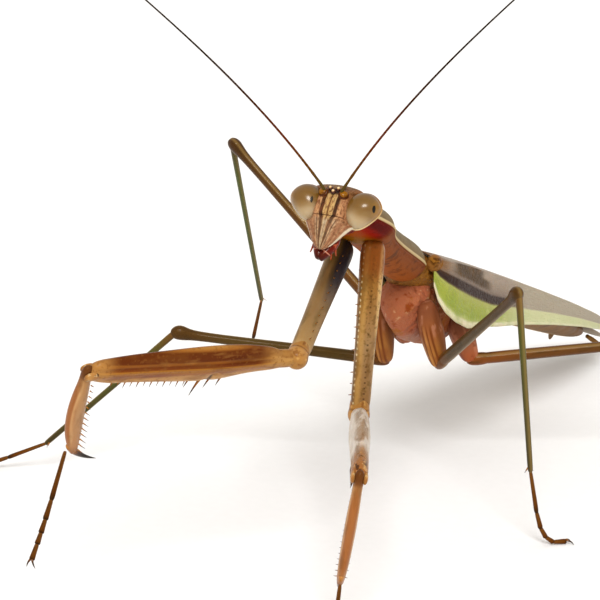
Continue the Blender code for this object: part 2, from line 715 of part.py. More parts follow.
MID_LENGTHS = (MID_FEMUR_LENGTH, MID_TIBIA_LENGTH, MID_TARSUS_LENGTH)
HIND_LENGTHS = (HIND_FEMUR_LENGTH, HIND_TIBIA_LENGTH, HIND_TARSUS_LENGTH)
MID_SIZES = (0.62, 0.5, 0.36, 0.28)
HIND_SIZES = (0.66, 0.56, 0.34, 0.28)
for side_name, sign, mid_pose, hind_pose in (
    ("left", 1.0, MID_LEFT, HIND_LEFT),
    ("right", -1.0, MID_RIGHT, HIND_RIGHT),
):
    mid_coxa = on_trunk(0.9, sign * 2.6, -3.6)
    mid_hip = WAIST + Vector(MID_HIPS[side_name])
    walking_leg("mid", side_name, mid_pose, mid_coxa, mid_hip, MID_LENGTHS, MID_SIZES, (BROWN, OLIVE))
    hind_coxa = on_trunk(9.6, sign * 2.3, -3.8)
    hind_hip = WAIST + Vector(HIND_HIPS[side_name])
    walking_leg("hind", side_name, hind_pose, hind_coxa, hind_hip, HIND_LENGTHS, HIND_SIZES, (RED_BROWN, OLIVE))


# ---------------------------------------------------------------- origin at the middle of the footprint
def centre_on_floor():
    bpy.context.view_layer.update()
    depsgraph = bpy.context.evaluated_depsgraph_get()
    corners = []
    for item in bpy.context.scene.objects:
        if not item.hide_render:
            evaluated = item.evaluated_get(depsgraph)
            corners += [vertex.co.copy() for vertex in evaluated.data.vertices]
    low = [min(corner[axis] for corner in corners) for axis in range(3)]
    high = [max(corner[axis] for corner in corners) for axis in range(3)]
    shift = Vector((-(low[0] + high[0]) * 0.5, -(low[1] + high[1]) * 0.5, -low[2]))
    for item in bpy.context.scene.objects:
        item.location = shift


centre_on_floor()
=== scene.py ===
import math

import bpy
from mathutils import Matrix, Vector, noise


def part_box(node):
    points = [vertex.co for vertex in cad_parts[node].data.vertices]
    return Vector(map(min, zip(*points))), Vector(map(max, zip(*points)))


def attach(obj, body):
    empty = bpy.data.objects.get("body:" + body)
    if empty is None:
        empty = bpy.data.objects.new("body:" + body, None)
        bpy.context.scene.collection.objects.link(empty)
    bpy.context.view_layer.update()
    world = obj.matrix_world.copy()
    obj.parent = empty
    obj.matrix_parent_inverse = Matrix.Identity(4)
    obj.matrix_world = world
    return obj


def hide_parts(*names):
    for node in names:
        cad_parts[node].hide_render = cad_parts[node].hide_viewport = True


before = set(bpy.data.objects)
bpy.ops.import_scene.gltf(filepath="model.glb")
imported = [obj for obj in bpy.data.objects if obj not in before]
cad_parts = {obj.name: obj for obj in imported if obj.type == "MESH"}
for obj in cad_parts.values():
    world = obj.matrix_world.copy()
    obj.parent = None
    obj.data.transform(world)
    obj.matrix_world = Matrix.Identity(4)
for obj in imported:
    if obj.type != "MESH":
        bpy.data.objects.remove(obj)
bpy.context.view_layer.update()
bpy.context.scene.view_settings.view_transform = "Standard"
print("frame loaded")

# Lengths are in millimetres. The mantis faces -Y, its left is +X, up is +Z.
# A heading turns from straight ahead to the mantis's left, a pitch is the angle above level.
stance = {
    "waistHeight": 23.0,
    "trunkDroop": 19.0,
    "prothoraxLength": 27.0,
    "prothoraxAim": (12.0, 23.5),
    "headPlace": (3.25, -0.17, -0.09),  # ahead, left and up of the prothorax's front
    "headAim": (10.0, 30.0),
    "headRoll": 3.0,
    "eyesAhead": 0.25,  # of the eye line
}
millimetre = 0.001
bothSides = (("left", 1.0), ("right", -1.0))


# places and directions
def aimOf(heading, pitch):
    h, p = math.radians(heading), math.radians(pitch)
    return Vector((math.sin(h) * math.cos(p), -math.cos(h) * math.cos(p), math.sin(p)))


def squareTo(direction, towards):
    return (towards - direction * towards.dot(direction)).normalized()


def rowAt(rows, at):
    # values at a position, blended between rows that start with their position
    if at <= rows[0][0]:
        return rows[0][1:]
    for low, high in zip(rows, rows[1:]):
        if at <= high[0]:
            share = (at - low[0]) / (high[0] - low[0])
            return tuple(a + (b - a) * share for a, b in zip(low[1:], high[1:]))
    return rows[-1][1:]


def smooth(low, high, value):
    share = min(max((value - low) / (high - low), 0.0), 1.0)
    return share * share * (3.0 - 2.0 * share)


def bump(centre, width, value):
    return math.exp(-((value - centre) / width) ** 2)


droop = math.radians(stance["trunkDroop"])
leftward = Vector((1.0, 0.0, 0.0))
tailward = Vector((0.0, math.cos(droop), -math.sin(droop)))
trunkUp = Vector((0.0, math.sin(droop), math.cos(droop)))
waist = Vector((0.0, 0.0, stance["waistHeight"]))
trunk = waist, tailward, trunkUp
prothoraxAim = aimOf(*stance["prothoraxAim"])
prothoraxLeft = aimOf(stance["prothoraxAim"][0] + 90.0, 0.0)
prothoraxUp = prothoraxAim.cross(prothoraxLeft)
prothoraxFront = waist + prothoraxAim * stance["prothoraxLength"]
headAim = aimOf(*stance["headAim"])
levelLeft = aimOf(stance["headAim"][0] + 90.0, 0.0)
levelUp = headAim.cross(levelLeft)
headRoll = math.radians(stance["headRoll"])
headLeft = levelLeft * math.cos(headRoll) - levelUp * math.sin(headRoll)
headUp = levelUp * math.cos(headRoll) + levelLeft * math.sin(headRoll)
eyeLine = prothoraxFront + sum(
    (axis * part for axis, part in zip((prothoraxAim, prothoraxLeft, prothoraxUp), stance["headPlace"])),
    Vector(),
)
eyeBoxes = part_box("eye_left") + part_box("eye_right")
frameShift = sum(eyeBoxes, Vector()) / 4.0 - (eyeLine + headAim * stance["eyesAhead"]) * millimetre


def onTrunk(along, sideways, up):
    return waist + tailward * along + leftward * sideways + trunkUp * up


def onHead(sideways, ahead, up):
    return eyeLine + headLeft * sideways + headAim * ahead + headUp * up


def toFrame(point):
    return point * millimetre + frameShift


# making pieces
def only(*pieces):
    bpy.ops.object.select_all(action="DESELECT")
    for piece in pieces:
        piece.select_set(True)
    bpy.context.view_layer.objects.active = pieces[0]


def named(name):
    piece = bpy.context.object
    piece.name = piece.data.name = name
    return piece


def refine(piece, kind, **settings):
    only(piece)
    added = piece.modifiers.new(kind.lower(), kind)
    for setting, value in settings.items():
        setattr(added, setting, value)
    bpy.ops.object.modifier_apply(modifier=added.name)


def soften(piece, levels):
    if levels:
        refine(piece, "SUBSURF", levels=levels, render_levels=levels)


def closeUp(piece, levels):
    # the end of a growth: normals outwards, then smoother faces
    bpy.ops.mesh.select_all(action="SELECT")
    bpy.ops.mesh.normals_make_consistent(inside=False)
    bpy.ops.object.mode_set(mode="OBJECT")
    soften(piece, levels)


def whole(row):
    # a row may leave out its shift, or both its half depth and its shift
    height, width, *rest = row
    return height, width, rest[0] if rest else width, rest[1] if len(rest) > 1 else 0.0


def growTube(name, rows, sides=16, levels=2):
    # a disc grown along Z: rows are height, half width, half depth and shift along Y
    rows = [whole(row) for row in rows]
    height, width, depth, shift = rows[0]
    bpy.ops.mesh.primitive_circle_add(vertices=sides, radius=1.0, fill_type="TRIFAN")
    piece = named(name)
    bpy.ops.object.mode_set(mode="EDIT")
    bpy.ops.mesh.select_all(action="SELECT")
    bpy.ops.transform.resize(value=(width, depth, 1.0), center_override=(0.0, 0.0, 0.0))
    bpy.ops.transform.translate(value=(0.0, shift, height))
    for (z, w, d, s), (zNext, wNext, dNext, sNext) in zip(rows, rows[1:]):
        bpy.ops.mesh.extrude_region_move(TRANSFORM_OT_translate={"value": (0.0, sNext - s, zNext - z)})
        bpy.ops.transform.resize(value=(wNext / w, dNext / d, 1.0), center_override=(0.0, sNext, zNext))
    closeUp(piece, levels)
    return piece


def growPath(name, points, radii, sides=8, levels=1):
    # a disc drawn along a gently bent path; its spot attribute keeps the length run so far
    first = (points[1] - points[0]).normalized()
    bpy.ops.mesh.primitive_circle_add(
        vertices=sides, radius=radii[0], fill_type="TRIFAN", location=points[0],
        rotation=first.to_track_quat("Z", "Y").to_euler(),
    )
    piece = named(name)
    bpy.ops.object.transform_apply(location=True, rotation=True, scale=True)
    bpy.ops.object.mode_set(mode="EDIT")
    bpy.ops.mesh.select_all(action="SELECT")
    for number in range(1, len(points)):
        step = points[number] - points[number - 1]
        growth = radii[number] / radii[number - 1]
        bpy.ops.mesh.extrude_region_move(TRANSFORM_OT_translate={"value": step})
        bpy.ops.transform.resize(value=(growth,) * 3, center_override=points[number])
    closeUp(piece, levels)
    runs = [0.0]
    for before, after in zip(points, points[1:]):
        runs.append(runs[-1] + (after - before).length)
    spots = piece.data.attributes.new("spot", "FLOAT_VECTOR", "POINT")
    for index, vertex in enumerate(piece.data.vertices):
        nearest = min(range(len(points)), key=lambda n: (points[n] - vertex.co).length_squared)
        spots.data[index].vector = (0.0, 0.0, runs[nearest])
    return piece


def shape(piece, rule):
    for vertex in piece.data.vertices:
        vertex.co = rule(vertex.co.copy())


def curl(piece, radius):
    # bends a tube that stands along Z over towards -Y
    def bent(point):
        turn = point.z / radius
        reach = radius + point.y
        return Vector((point.x, reach * math.cos(turn) - radius, reach * math.sin(turn)))
    shape(piece, bent)


def keepSpot(piece, rule=None):
    spots = piece.data.attributes.new("spot", "FLOAT_VECTOR", "POINT")
    for index, vertex in enumerate(piece.data.vertices):
        spots.data[index].vector = rule(vertex.co) if rule else vertex.co


def place(piece, start, direction, rise):
    # local Z runs along the direction, local Y along the rise
    turn = Matrix((rise.cross(direction), rise, direction)).transposed().to_4x4()
    piece.matrix_world = Matrix.Translation(toFrame(start)) @ turn @ Matrix.Scale(millimetre, 4)
    only(piece)
    bpy.ops.object.transform_apply(location=True, rotation=True, scale=True)


def placeAsMade(piece):
    # for pieces modelled in the animal's own place
    place(piece, Vector(), Vector((0.0, 0.0, 1.0)), Vector((0.0, 1.0, 0.0)))


def copied(pattern, name, matrices):
    pieces = []
    for matrix in matrices:
        piece = pattern.copy()
        piece.data = pattern.data.copy()
        bpy.context.collection.objects.link(piece)
        piece.matrix_world = matrix
        pieces.append(piece)
    return joined(name, pieces)


def joined(name, pieces):
    only(*pieces)
    bpy.ops.object.transform_apply(location=True, rotation=True, scale=True)
    if len(pieces) > 1:
        bpy.ops.object.join()
    return named(name)


def standing(root, lean, length, thickness):
    turn = lean.to_track_quat("Z", "Y").to_matrix().to_4x4()
    return Matrix.Translation(root) @ turn @ Matrix.Diagonal((thickness, thickness, length, 1.0))


def finish(piece, slot, material, *nodes):
    piece.data.materials.clear()
    piece.data.materials.append(material)
    only(piece)
    bpy.ops.object.shade_smooth()
    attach(piece, "root")
    if nodes:
        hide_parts(*nodes)
    return piece


def settle(piece, where, slot, material, *nodes):
    # where: start, direction and rise; the spot is kept before, unless the piece has one
    if "spot" not in piece.data.attributes:
        keepSpot(piece)
    place(piece, *where)
    return finish(piece, slot, material, *nodes)


def fitToHead(piece, slot, material, *nodes):
    # head pieces are modelled with X to the left, Y backwards and Z up from the eye line
    place(piece, eyeLine, headUp, -headAim)
    return finish(piece, slot, material, *nodes)


# materials
def linear(code):
    channels = []
    for start in (0, 2, 4):
        value = int(code[start:start + 2], 16) / 255.0
        channels.append(value / 12.92 if value <= 0.04045 else ((value + 0.055) / 1.055) ** 2.4)
    return (*channels, 1.0)


def addNode(tree, kind, values=None, links=None, **settings):
    node = tree.nodes.new("ShaderNode" + kind)
    for setting, value in settings.items():
        setattr(node, setting, value)
    for socket, value in (values or {}).items():
        node.inputs[socket].default_value = value
    for socket, source in (links or {}).items():
        tree.links.new(source, node.inputs[socket])
    return node


def maskOf(tree, spot, kind, *sizes):
    # a 0 to 1 mask, in millimetres: a slope (x) or band (bandx) along an axis, beads in a row, noise or dots
    axes, vector = spot
    if kind in axes:
        source = axes[kind]
        low, high = sizes
    elif kind[:4] == "band":
        centre, half, soft = sizes
        off = addNode(tree, "Math", {1: centre}, {0: axes[kind[4:]]}, operation="SUBTRACT")
        source = addNode(tree, "Math", {}, {0: off.outputs[0]}, operation="ABSOLUTE").outputs[0]
        low, high = half + soft, max(half - soft, 0.0)
    elif kind == "row":  # at even steps along z
        step, low, high = sizes
        source = addNode(tree, "Math", {1: step * 0.5}, {0: axes["z"]}, operation="PINGPONG").outputs[0]
    else:
        size, low, high, *stretch = sizes
        crowding = {1: stretch[0] if stretch else (1.0, 1.0, 1.0)}
        drawn = addNode(tree, "VectorMath", crowding, {0: vector}, operation="MULTIPLY").outputs[0]
        texture, settings = ("TexNoise", {"Detail": 3.0}) if kind == "noise" else ("TexVoronoi", {})
        source = addNode(tree, texture, {"Scale": 1.0 / size, **settings}, {"Vector": drawn}).outputs[0]
    edges = {1: low, 2: high}
    return addNode(tree, "MapRange", edges, {0: source}, interpolation_type="SMOOTHSTEP").outputs[0]


def paint(tree, spot, colour, layers):
    # a layer is its colour, its strength and the masks that limit it
    for code, strength, *masks in layers:
        amount = maskOf(tree, spot, *masks[0])
        for mask in masks[1:]:
            found = maskOf(tree, spot, *mask)
            amount = addNode(tree, "Math", {}, {0: amount, 1: found}, operation="MULTIPLY").outputs[0]
        amount = addNode(tree, "Math", {1: strength}, {0: amount}, operation="MULTIPLY").outputs[0]
        laid = {0: amount, 6: colour}
        colour = addNode(tree, "Mix", {7: linear(code)}, laid, data_type="RGBA", clamp_factor=True).outputs[2]
    return colour


def cuticle(name, look):
    # insect cuticle: tanned chitin, waxy and slightly see-through, with a fine grain
    material = bpy.data.materials.new(name)
    material.use_nodes = True
    tree = material.node_tree
    shader = tree.nodes["Principled BSDF"]
    vector = addNode(tree, "Attribute", attribute_name="spot").outputs["Vector"]
    split = addNode(tree, "SeparateXYZ", {}, {0: vector})
    spot = ({"x": split.outputs[0], "y": split.outputs[1], "z": split.outputs[2]}, vector)
    ramp = addNode(tree, "ValToRGB")
    stops = look["along"]
    lowest, highest = stops[0][0], stops[-1][0]
    run = addNode(tree, "MapRange", {1: lowest, 2: highest}, {0: spot[0][look.get("axis", "z")]})
    tree.links.new(run.outputs[0], ramp.inputs[0])
    while len(ramp.color_ramp.elements) < len(stops):
        ramp.color_ramp.elements.new(0.5)
    for element, (at, code) in zip(ramp.color_ramp.elements, stops):
        element.position = (at - lowest) / (highest - lowest)
        element.color = linear(code)
    colour = paint(tree, spot, ramp.outputs[0], look.get("layers", ()))
    colour = addNode(tree, "Gamma", {1: look.get("depth", 1.25)}, {0: colour}).outputs[0]
    saturation = {"Saturation": look.get("saturation", 1.08)}
    colour = addNode(tree, "HueSaturation", saturation, {"Color": colour}).outputs[0]
    tree.links.new(colour, shader.inputs["Base Color"])
    fine = {"Scale": 1.0 / look.get("grain", 0.12), "Detail": 2.0}
    rough = addNode(tree, "TexNoise", fine, {"Vector": vector})
    height = rough.outputs[0]
    for weight, *mask in look.get("relief", ()):
        found = maskOf(tree, spot, *mask)
        raised = addNode(tree, "Math", {1: weight}, {0: found, 2: height}, operation="MULTIPLY_ADD")
        height = raised.outputs[0]
    deep = {"Strength": look.get("bump", 0.25), "Distance": 0.1 * millimetre}
    lift = addNode(tree, "Bump", deep, {"Height": height})
    tree.links.new(lift.outputs[0], shader.inputs["Normal"])
    gloss = look.get("roughness", 0.42)
    worn = addNode(tree, "MapRange", {3: gloss - 0.07, 4: gloss + 0.09}, {0: rough.outputs[0]})
    tree.links.new(worn.outputs[0], shader.inputs["Roughness"])
    for socket, value in {
        "IOR": 1.5,
        "Specular IOR Level": look.get("specular", 0.22),
        "Specular Tint": linear(look.get("shine", "d9a865")),
        "Coat Weight": look.get("coat", 0.0),
        "Coat Roughness": look.get("coatRoughness", 0.12),
        "Subsurface Weight": look.get("glow", 0.0),
        "Subsurface Radius": (1.0, 0.5, 0.25),
        "Subsurface Scale": 0.6 * millimetre,
    }.items():
        shader.inputs[socket].default_value = value
    return material


print("helpers ready")

# eyes
eyes = {
    "halfSize": (1.6, 1.42, 1.66),
    "spread": {"left": 2.66, "right": 2.5}, "lift": {"left": -0.08, "right": 0.0},
    "taper": 0.2, "lean": 0.27, "inset": 0.04, "flatten": 0.12,  # narrowing and shift at the lower end
    "pupil": {"left": (1.22, 0.12), "right": (0.73, 0.0)},  # middle of the dark spot
    "pupilSize": (0.12, 0.34), "rimWidth": 0.036, "rimSpread": 1.02, "rimDepth": 3.0, "rimBack": 0.16,
}


def eyeMaterial(sideName, sign):
    # a compound eye: thousands of tiny clear lenses over pale pigment, so glossy with a soft depth
    material = cuticle("compoundEyeLens_" + sideName, {
        "along": (
            (-1.7, "b9a88a"), (-1.1, "b09a78"), (-0.6, "8c7048"),
            (-0.1, "7a5c34"), (1.1, "755830"), (1.7, "664a28"),
        ),
        "layers": (
            ("bcab8e", 0.8, ("x", 0.3 * sign, -1.3 * sign), ("z", 0.1, -1.0)),
            ("b08448", 0.5, ("x", 0.9 * sign, 1.5 * sign)),
            ("7c6034", 0.4, ("noise", 1.5, 0.42, 0.7)),
        ),
        "roughness": 0.3, "coat": 0.5, "coatRoughness": 0.16, "glow": 0.1, "bump": 0.04, "grain": 0.05,
        "depth": 1.12, "specular": 0.3, "shine": "fff4e0",
    })
    tree = material.node_tree
    shader = tree.nodes["Principled BSDF"]
    mark = addNode(tree, "Attribute", attribute_name="pupil").outputs["Fac"]
    dark = addNode(tree, "MapRange", {1: 1.06, 2: 0.9}, {0: mark})
    colour = shader.inputs["Base Color"].links[0].from_socket
    mixed = addNode(tree, "Mix", {7: linear("070504")}, {0: dark.outputs[0], 6: colour}, data_type="RGBA")
    tree.links.new(mixed.outputs[2], shader.inputs["Base Color"])
    tree.links.new(mixed.outputs[2], shader.inputs["Emission Color"])
    clear = addNode(tree, "MapRange", {3: 0.4, 4: 0.0}, {0: dark.outputs[0]})
    tree.links.new(clear.outputs[0], shader.inputs["Coat Weight"])
    return material


def eyeForm(point, sign):
    low = smooth(0.35, -1.0, point.z)
    x = point.x * (1.0 - eyes["taper"] * low) - sign * (eyes["lean"] * low - eyes["inset"])
    width, depth, height = eyes["halfSize"]
    return Vector((x * width, point.y * depth * (1.0 - eyes["flatten"] * low), point.z * height))


def rimForm(point, sign):
    # the ring lies round the eye's edge and is drawn out backwards
    edge = eyeForm(Vector((point.x, 0.0, point.y)), sign) * eyes["rimSpread"]
    return Vector((edge.x, point.z * eyes["rimDepth"] + eyes["rimBack"], edge.z))


# the pale ring of dull cuticle that frames each eye
eyeRimMaterial = cuticle("eyeRimCuticle", {
    "along": ((-1.7, "dccaa8"), (-0.2, "ccb088"), (1.7, "8f6236")),
    "grain": 0.1, "roughness": 0.4, "glow": 0.1,
})
for sideName, sign in bothSides:
    bpy.ops.mesh.primitive_uv_sphere_add(segments=64, ring_count=40, radius=1.0)
    eye = named("compoundEye_" + sideName)
    shape(eye, lambda point: eyeForm(point, sign))
    across, height = eyes["pupil"][sideName]
    wide, tall = eyes["pupilSize"]
    marks = eye.data.attributes.new("pupil", "FLOAT", "POINT")
    for index, vertex in enumerate(eye.data.vertices):
        away = math.hypot((vertex.co.x - across) / wide, (vertex.co.z - height) / tall)
        marks.data[index].value = away + (0.0 if vertex.co.y < 0.0 else 9.0)  # only in front
    centre = onHead(sign * eyes["spread"][sideName], stance["eyesAhead"], eyes["lift"][sideName])
    settle(eye, (centre, headUp, -headAim), "eye", eyeMaterial(sideName, sign), "eye_" + sideName)

    bpy.ops.mesh.primitive_torus_add(
        major_segments=72, minor_segments=10, major_radius=1.0, minor_radius=eyes["rimWidth"])
    rim = named("eyeRim_" + sideName)
    shape(rim, lambda point: rimForm(point, sign))
    settle(rim, (centre, headUp, -headAim), "eye", eyeRimMaterial)
print("eyes made")

# head
head = {
    # height, half width, half depth, shift back of the middle
    "rows": (
        (-4.35, 0.2, 0.18, -1.38), (-4.1, 0.62, 0.4, -1.3), (-3.6, 1.02, 0.66, -1.12),
        (-3.05, 1.38, 0.86, -0.98), (-2.4, 1.75, 1.1, -0.75), (-1.8, 2.2, 1.3, -0.5),
        (-1.1, 2.6, 1.5, -0.25), (-0.2, 2.75, 1.6, -0.05), (0.7, 2.65, 1.5, 0.1),
        (1.45, 2.45, 1.2, 0.25), (1.8, 2.25, 0.9, 0.36), (2.0, 1.8, 0.62, 0.44), (2.17, 0.9, 0.3, 0.5),
    ),
    "sutureHeight": -1.25,
    "labrumHeight": -3.0,
    "ocelli": ((0.34, -1.32, 1.32), (-0.34, -1.32, 1.32), (0.0, -1.5, 0.98)),
}


def headRim(height):
    return rowAt(head["rows"], height)[0]


def headRelief(point):
    front = smooth(0.1, -0.5, point.y)
    share = abs(point.x) / max(headRim(point.z), 0.1)
    out = 0.0
    out -= 0.09 * bump(head["sutureHeight"], 0.09, point.z) * smooth(1.0, 0.6, share)
    out -= 0.05 * bump(head["labrumHeight"], 0.07, point.z) * smooth(0.9, 0.5, share)
    out += 0.05 * smooth(-1.2, -0.9, point.z) * smooth(0.6, 0.2, point.z) * smooth(1.45, 1.2, abs(point.x))
    out += 0.06 * bump(0.0, 0.35, point.x) * smooth(-1.4, -2.0, point.z)
    out -= 0.05 * bump(0.0, 0.12, point.x) * smooth(0.9, 1.2, point.z)
    out -= 0.08 * bump(1.0, 0.14, abs(point.x)) * smooth(1.0, 1.5, point.z)
    seam = 1.45 + (point.z - head["sutureHeight"]) * 0.42
    out -= 0.05 * bump(seam, 0.08, abs(point.x)) * smooth(-1.2, -1.5, point.z)
    # the orbits lie lower than the face plate, so that the eyes stand free of it
    orbit = smooth(1.22, 1.75, abs(point.x)) * smooth(-2.0, -1.45, point.z) * smooth(1.5, 1.0, point.z)
    out -= 0.62 * orbit
    out -= 0.05 * bump(1.3, 0.1, abs(point.x)) * smooth(-1.3, -0.9, point.z) * smooth(0.6, 0.2, point.z)
    return point + Vector((0.0, -out * front, 0.0))


def mirrored(code, strength, centre, half, soft, *masks):
    # the same layer on a band left and right of the middle
    return [(code, strength, ("bandx", side * centre, half, soft), *masks) for side in (1.0, -1.0)]


# stripes of the face from its middle outwards
faceStripes = [  # share of the half width, colour
    (0.0, "5c3210"), (0.05, "c2a068"), (0.21, "c9a874"), (0.25, "44290f"), (0.37, "4a2a14"),
    (0.42, "c69c70"), (0.6, "bf9068"), (0.66, "b88a64"), (0.8, "b0825c"), (0.86, "bf9672"),
    (1.0, "c0936a"),
]
# striped face: waxy cuticle with a low, warm sheen
faceLook = {
    "axis": "x",
    "along": [(-at, code) for at, code in reversed(faceStripes[1:])] + faceStripes,
    "layers": (
        ("d8ccb0", 0.7, ("bandx", 0.0, 0.18, 0.05), ("z", -1.4, -1.9)),
        ("c8b090", 0.65, ("bandx", 0.5, 0.09, 0.05), ("z", -1.3, -1.7)),
        *mirrored("43240f", 0.8, 0.31, 0.08, 0.03, ("z", -1.5, -1.9)),
        *mirrored("8c4a2c", 0.45, 0.74, 0.05, 0.05, ("z", -1.6, -2.1)),
        ("c8b090", 0.65, ("bandx", -0.5, 0.09, 0.05), ("z", -1.3, -1.7)),
        ("8a5638", 0.55, ("noise", 0.35, 0.46, 0.6, (4.0, 1.0, 0.7))),
        ("4c2a14", 0.5, ("noise", 0.3, 0.55, 0.66, (4.0, 1.0, 0.5))),
        *mirrored("94642a", 0.85, 0.5, 0.17, 0.1, ("bandz", 0.9, 0.42, 0.15)),
        ("a08468", 0.3, ("z", -1.2, -1.8)),
        ("6a4020", 0.5, ("noise", 0.22, 0.54, 0.64, (2.0, 1.0, 0.8))),
        ("6a4a2c", 0.6, ("z", 0.95, 1.3)),
        ("80602e", 0.8, ("z", 1.55, 2.0)),
        ("94602c", 0.6, ("x", 0.6, 0.9), ("z", 0.8, 1.3)),
        ("3c0f0a", 0.92, ("bandz", 1.15, 0.3, 0.14), ("bandx", 0.0, 0.24, 0.08)),
        ("3a1408", 0.8, ("bandz", -1.27, 0.035, 0.05), ("bandx", 0.0, 0.7, 0.1)),
        *mirrored("1c0a05", 0.9, 0.26, 0.04, 0.03, ("bandz", -1.27, 0.08, 0.06)),
        *mirrored("3c1408", 0.75, 0.5, 0.012, 0.02, ("z", -1.4, -1.8)),
        *mirrored("e6dac2", 0.95, 0.995, 0.03, 0.015, ("z", -1.0, -1.5)),
        *mirrored("9a4c2c", 0.4, 0.9, 0.02, 0.02, ("z", -1.4, -1.8)),
    ),
    "relief": ((0.8, "noise", 0.5, 0.35, 0.65, (3.0, 1.0, 0.5)), (-0.5, "dots", 0.14, 0.1, 0.3)),
    "grain": 0.07, "bump": 0.5, "roughness": 0.4, "glow": 0.05, "saturation": 0.98, "shine": "e8d0b0",
}
capsule = growTube("headCapsule", head["rows"], 24, 3)
shape(capsule, headRelief)


def faceSpot(point):
    # across the face in shares of its half width, so that the stripes run together at the mouth
    wide = rowAt(((-4.4, 1.5), (-3.0, 1.55), (-1.25, 2.0), (0.8, 2.1), (1.5, 2.3)), point.z)[0]
    lower = smooth(-1.1, -1.5, point.z)
    wide = wide + (headRim(point.z) - wide) * lower
    share = point.x / max(wide, 0.12)
    share = math.copysign(abs(share) ** (1.0 - 0.28 * lower), share)
    if point.y > 0.1:
        share = math.copysign(max(abs(share), 0.7), point.x)
    return Vector((share, point.y, point.z))


keepSpot(capsule, faceSpot)
fitToHead(capsule, "head", cuticle("stripedHeadCuticle", faceLook), "head")
print("head made")

# sockets, feelers, simple eyes
antennae = {
    "length": 30.0, "segments": 60, "socket": (0.97, 1.37, 0.9), "root": (0.74, 1.55, 0.98),
    "firstRadii": (0.165, 0.165, None, 0.16), "radius": (0.15, 0.075), "waist": 0.84, "swell": 0.55,
    "aims": {"left": (97.0, 44.3), "right": (-60.0, 39.7)}, "lean": 14.5,
}
# amber cuticle of the sockets: smooth, with a small glint
socketLook = {
    "along": ((-0.1, "6a3a18"), (0.02, "4a2410"), (0.08, "8a5c26"), (0.25, "9c7030")),
    "layers": (("5c3210", 0.6, ("noise", 0.35, 0.5, 0.65)),),
    "grain": 0.07, "roughness": 0.35, "coat": 0.3,
}
# feelers: dull tanned chitin
feelerLook = {
    "along": (
        (0.0, "5c5434"), (2.0, "6a4c2a"), (6.0, "6e3116"), (11.0, "40200f"),
        (17.0, "1c110c"), (24.0, "241a16"), (30.0, "4c4440"),
    ),
    "layers": (("2a1812", 0.35, ("noise", 0.4, 0.5, 0.65, (0.0, 0.0, 1.0))),),
    "grain": 0.08, "roughness": 0.5,
}
# simple eyes: glassy lenses in a dark ring; their pale cream crowns are partly the lenses' own pearly tone
# and partly a painted glint
ocellusLook = {
    "along": ((0.0, "3c120c"), (0.12, "5e2a18"), (0.2, "d8b98c"), (0.3, "f1e2c2")),
    "grain": 0.08, "roughness": 0.12, "coat": 0.8,
}
socketMaterial = cuticle("amberSocketCuticle", socketLook)
feelerMaterial = cuticle("feelerCuticle", feelerLook)
ocellusMaterial = cuticle("ocellusLens", ocellusLook)

for sideName, sign in bothSides:
    x, ahead, z = antennae["socket"]
    dome = growTube("antennaSocket_" + sideName, (
        (-0.25, 0.5), (-0.07, 0.5), (0.0, 0.37), (0.05, 0.39), (0.14, 0.34), (0.2, 0.24), (0.23, 0.14),
    ), 16, 2)
    lean = (headAim + headLeft * sign * 0.35 + headUp * 0.25).normalized()
    settle(dome, (onHead(sign * x, ahead, z), lean, squareTo(lean, headUp)), "head", socketMaterial)

    heading, pitch = antennae["aims"][sideName]
    x, ahead, z = antennae["root"]
    here = onHead(sign * x, ahead, z)
    points, radii = [here], [0.14]
    count = antennae["segments"]
    step = antennae["length"] / count
    thick, thin = antennae["radius"]
    for number in range(count):
        direction = aimOf(heading, pitch + antennae["lean"] * (1.0 - (number + 0.5) / count) ** 2)
        radius = thick + (thin - thick) * (number / (count - 1)) ** 0.7
        if number < len(antennae["firstRadii"]):
            radius = antennae["firstRadii"][number] or radius
        points += [here + direction * step * antennae["swell"], here + direction * step]
        radii += [radius, radius * antennae["waist"]]
        here = points[-1]
    feeler = growPath("antenna_" + sideName, points, radii, 8, 1)
    placeAsMade(feeler)
    finish(feeler, "antenna", feelerMaterial, "antenna_" + sideName)

lens = growTube("ocellus", (
    (-0.1, 0.25), (0.03, 0.24), (0.06, 0.17), (0.14, 0.16), (0.22, 0.11), (0.25, 0.05),
), 12, 2)
keepSpot(lens)
for number, (x, y, z) in enumerate(head["ocelli"]):
    lean = Vector((x * 0.8, -1.0, 0.45)).normalized()
    single = copied(lens, f"ocellus_{number}", [standing(Vector((x, y + 0.05, z)), lean, 1.0, 1.0)])
    fitToHead(single, "head", ocellusMaterial)
bpy.data.objects.remove(lens)
print("antennae made")

# mouthparts behind the face plate
# mandibles: hard dark chitin with a moist gloss
maroonLook = {
    "along": ((-2.2, "4a0a05"), (-0.5, "6e120a"), (1.5, "7c2414")),
    "grain": 0.1, "roughness": 0.3, "coat": 0.2,
    "layers": (("c07a64", 0.7, ("noise", 0.7, 0.56, 0.64)), ("d8a690", 0.8, ("bandz", -1.0, 0.05, 0.08))),
}
# palps: thin skin that lets light through
pinkLook = {
    "along": ((0.0, "7a2c22"), (1.0, "9c5848"), (2.0, "9a6450")),
    "grain": 0.1, "roughness": 0.35, "glow": 0.15,
    "layers": (("8a2c1c", 0.6, ("noise", 0.5, 0.5, 0.65)),),
}
# throat: soft folded skin
throatLook = {
    "along": ((-1.0, "9c7430"), (0.0, "b5803c"), (1.5, "a2552a")),
    "grain": 0.12, "roughness": 0.4, "glow": 0.2,
    "layers": (("7c6a30", 0.6, ("noise", 0.9, 0.45, 0.65)), ("8a2c14", 0.5, ("noise", 0.7, 0.55, 0.7))),
}
maroonMaterial = cuticle("mandibleCuticle", maroonLook)
pinkMaterial = cuticle("palpCuticle", pinkLook)
throatMaterial = cuticle("throatSkin", throatLook)

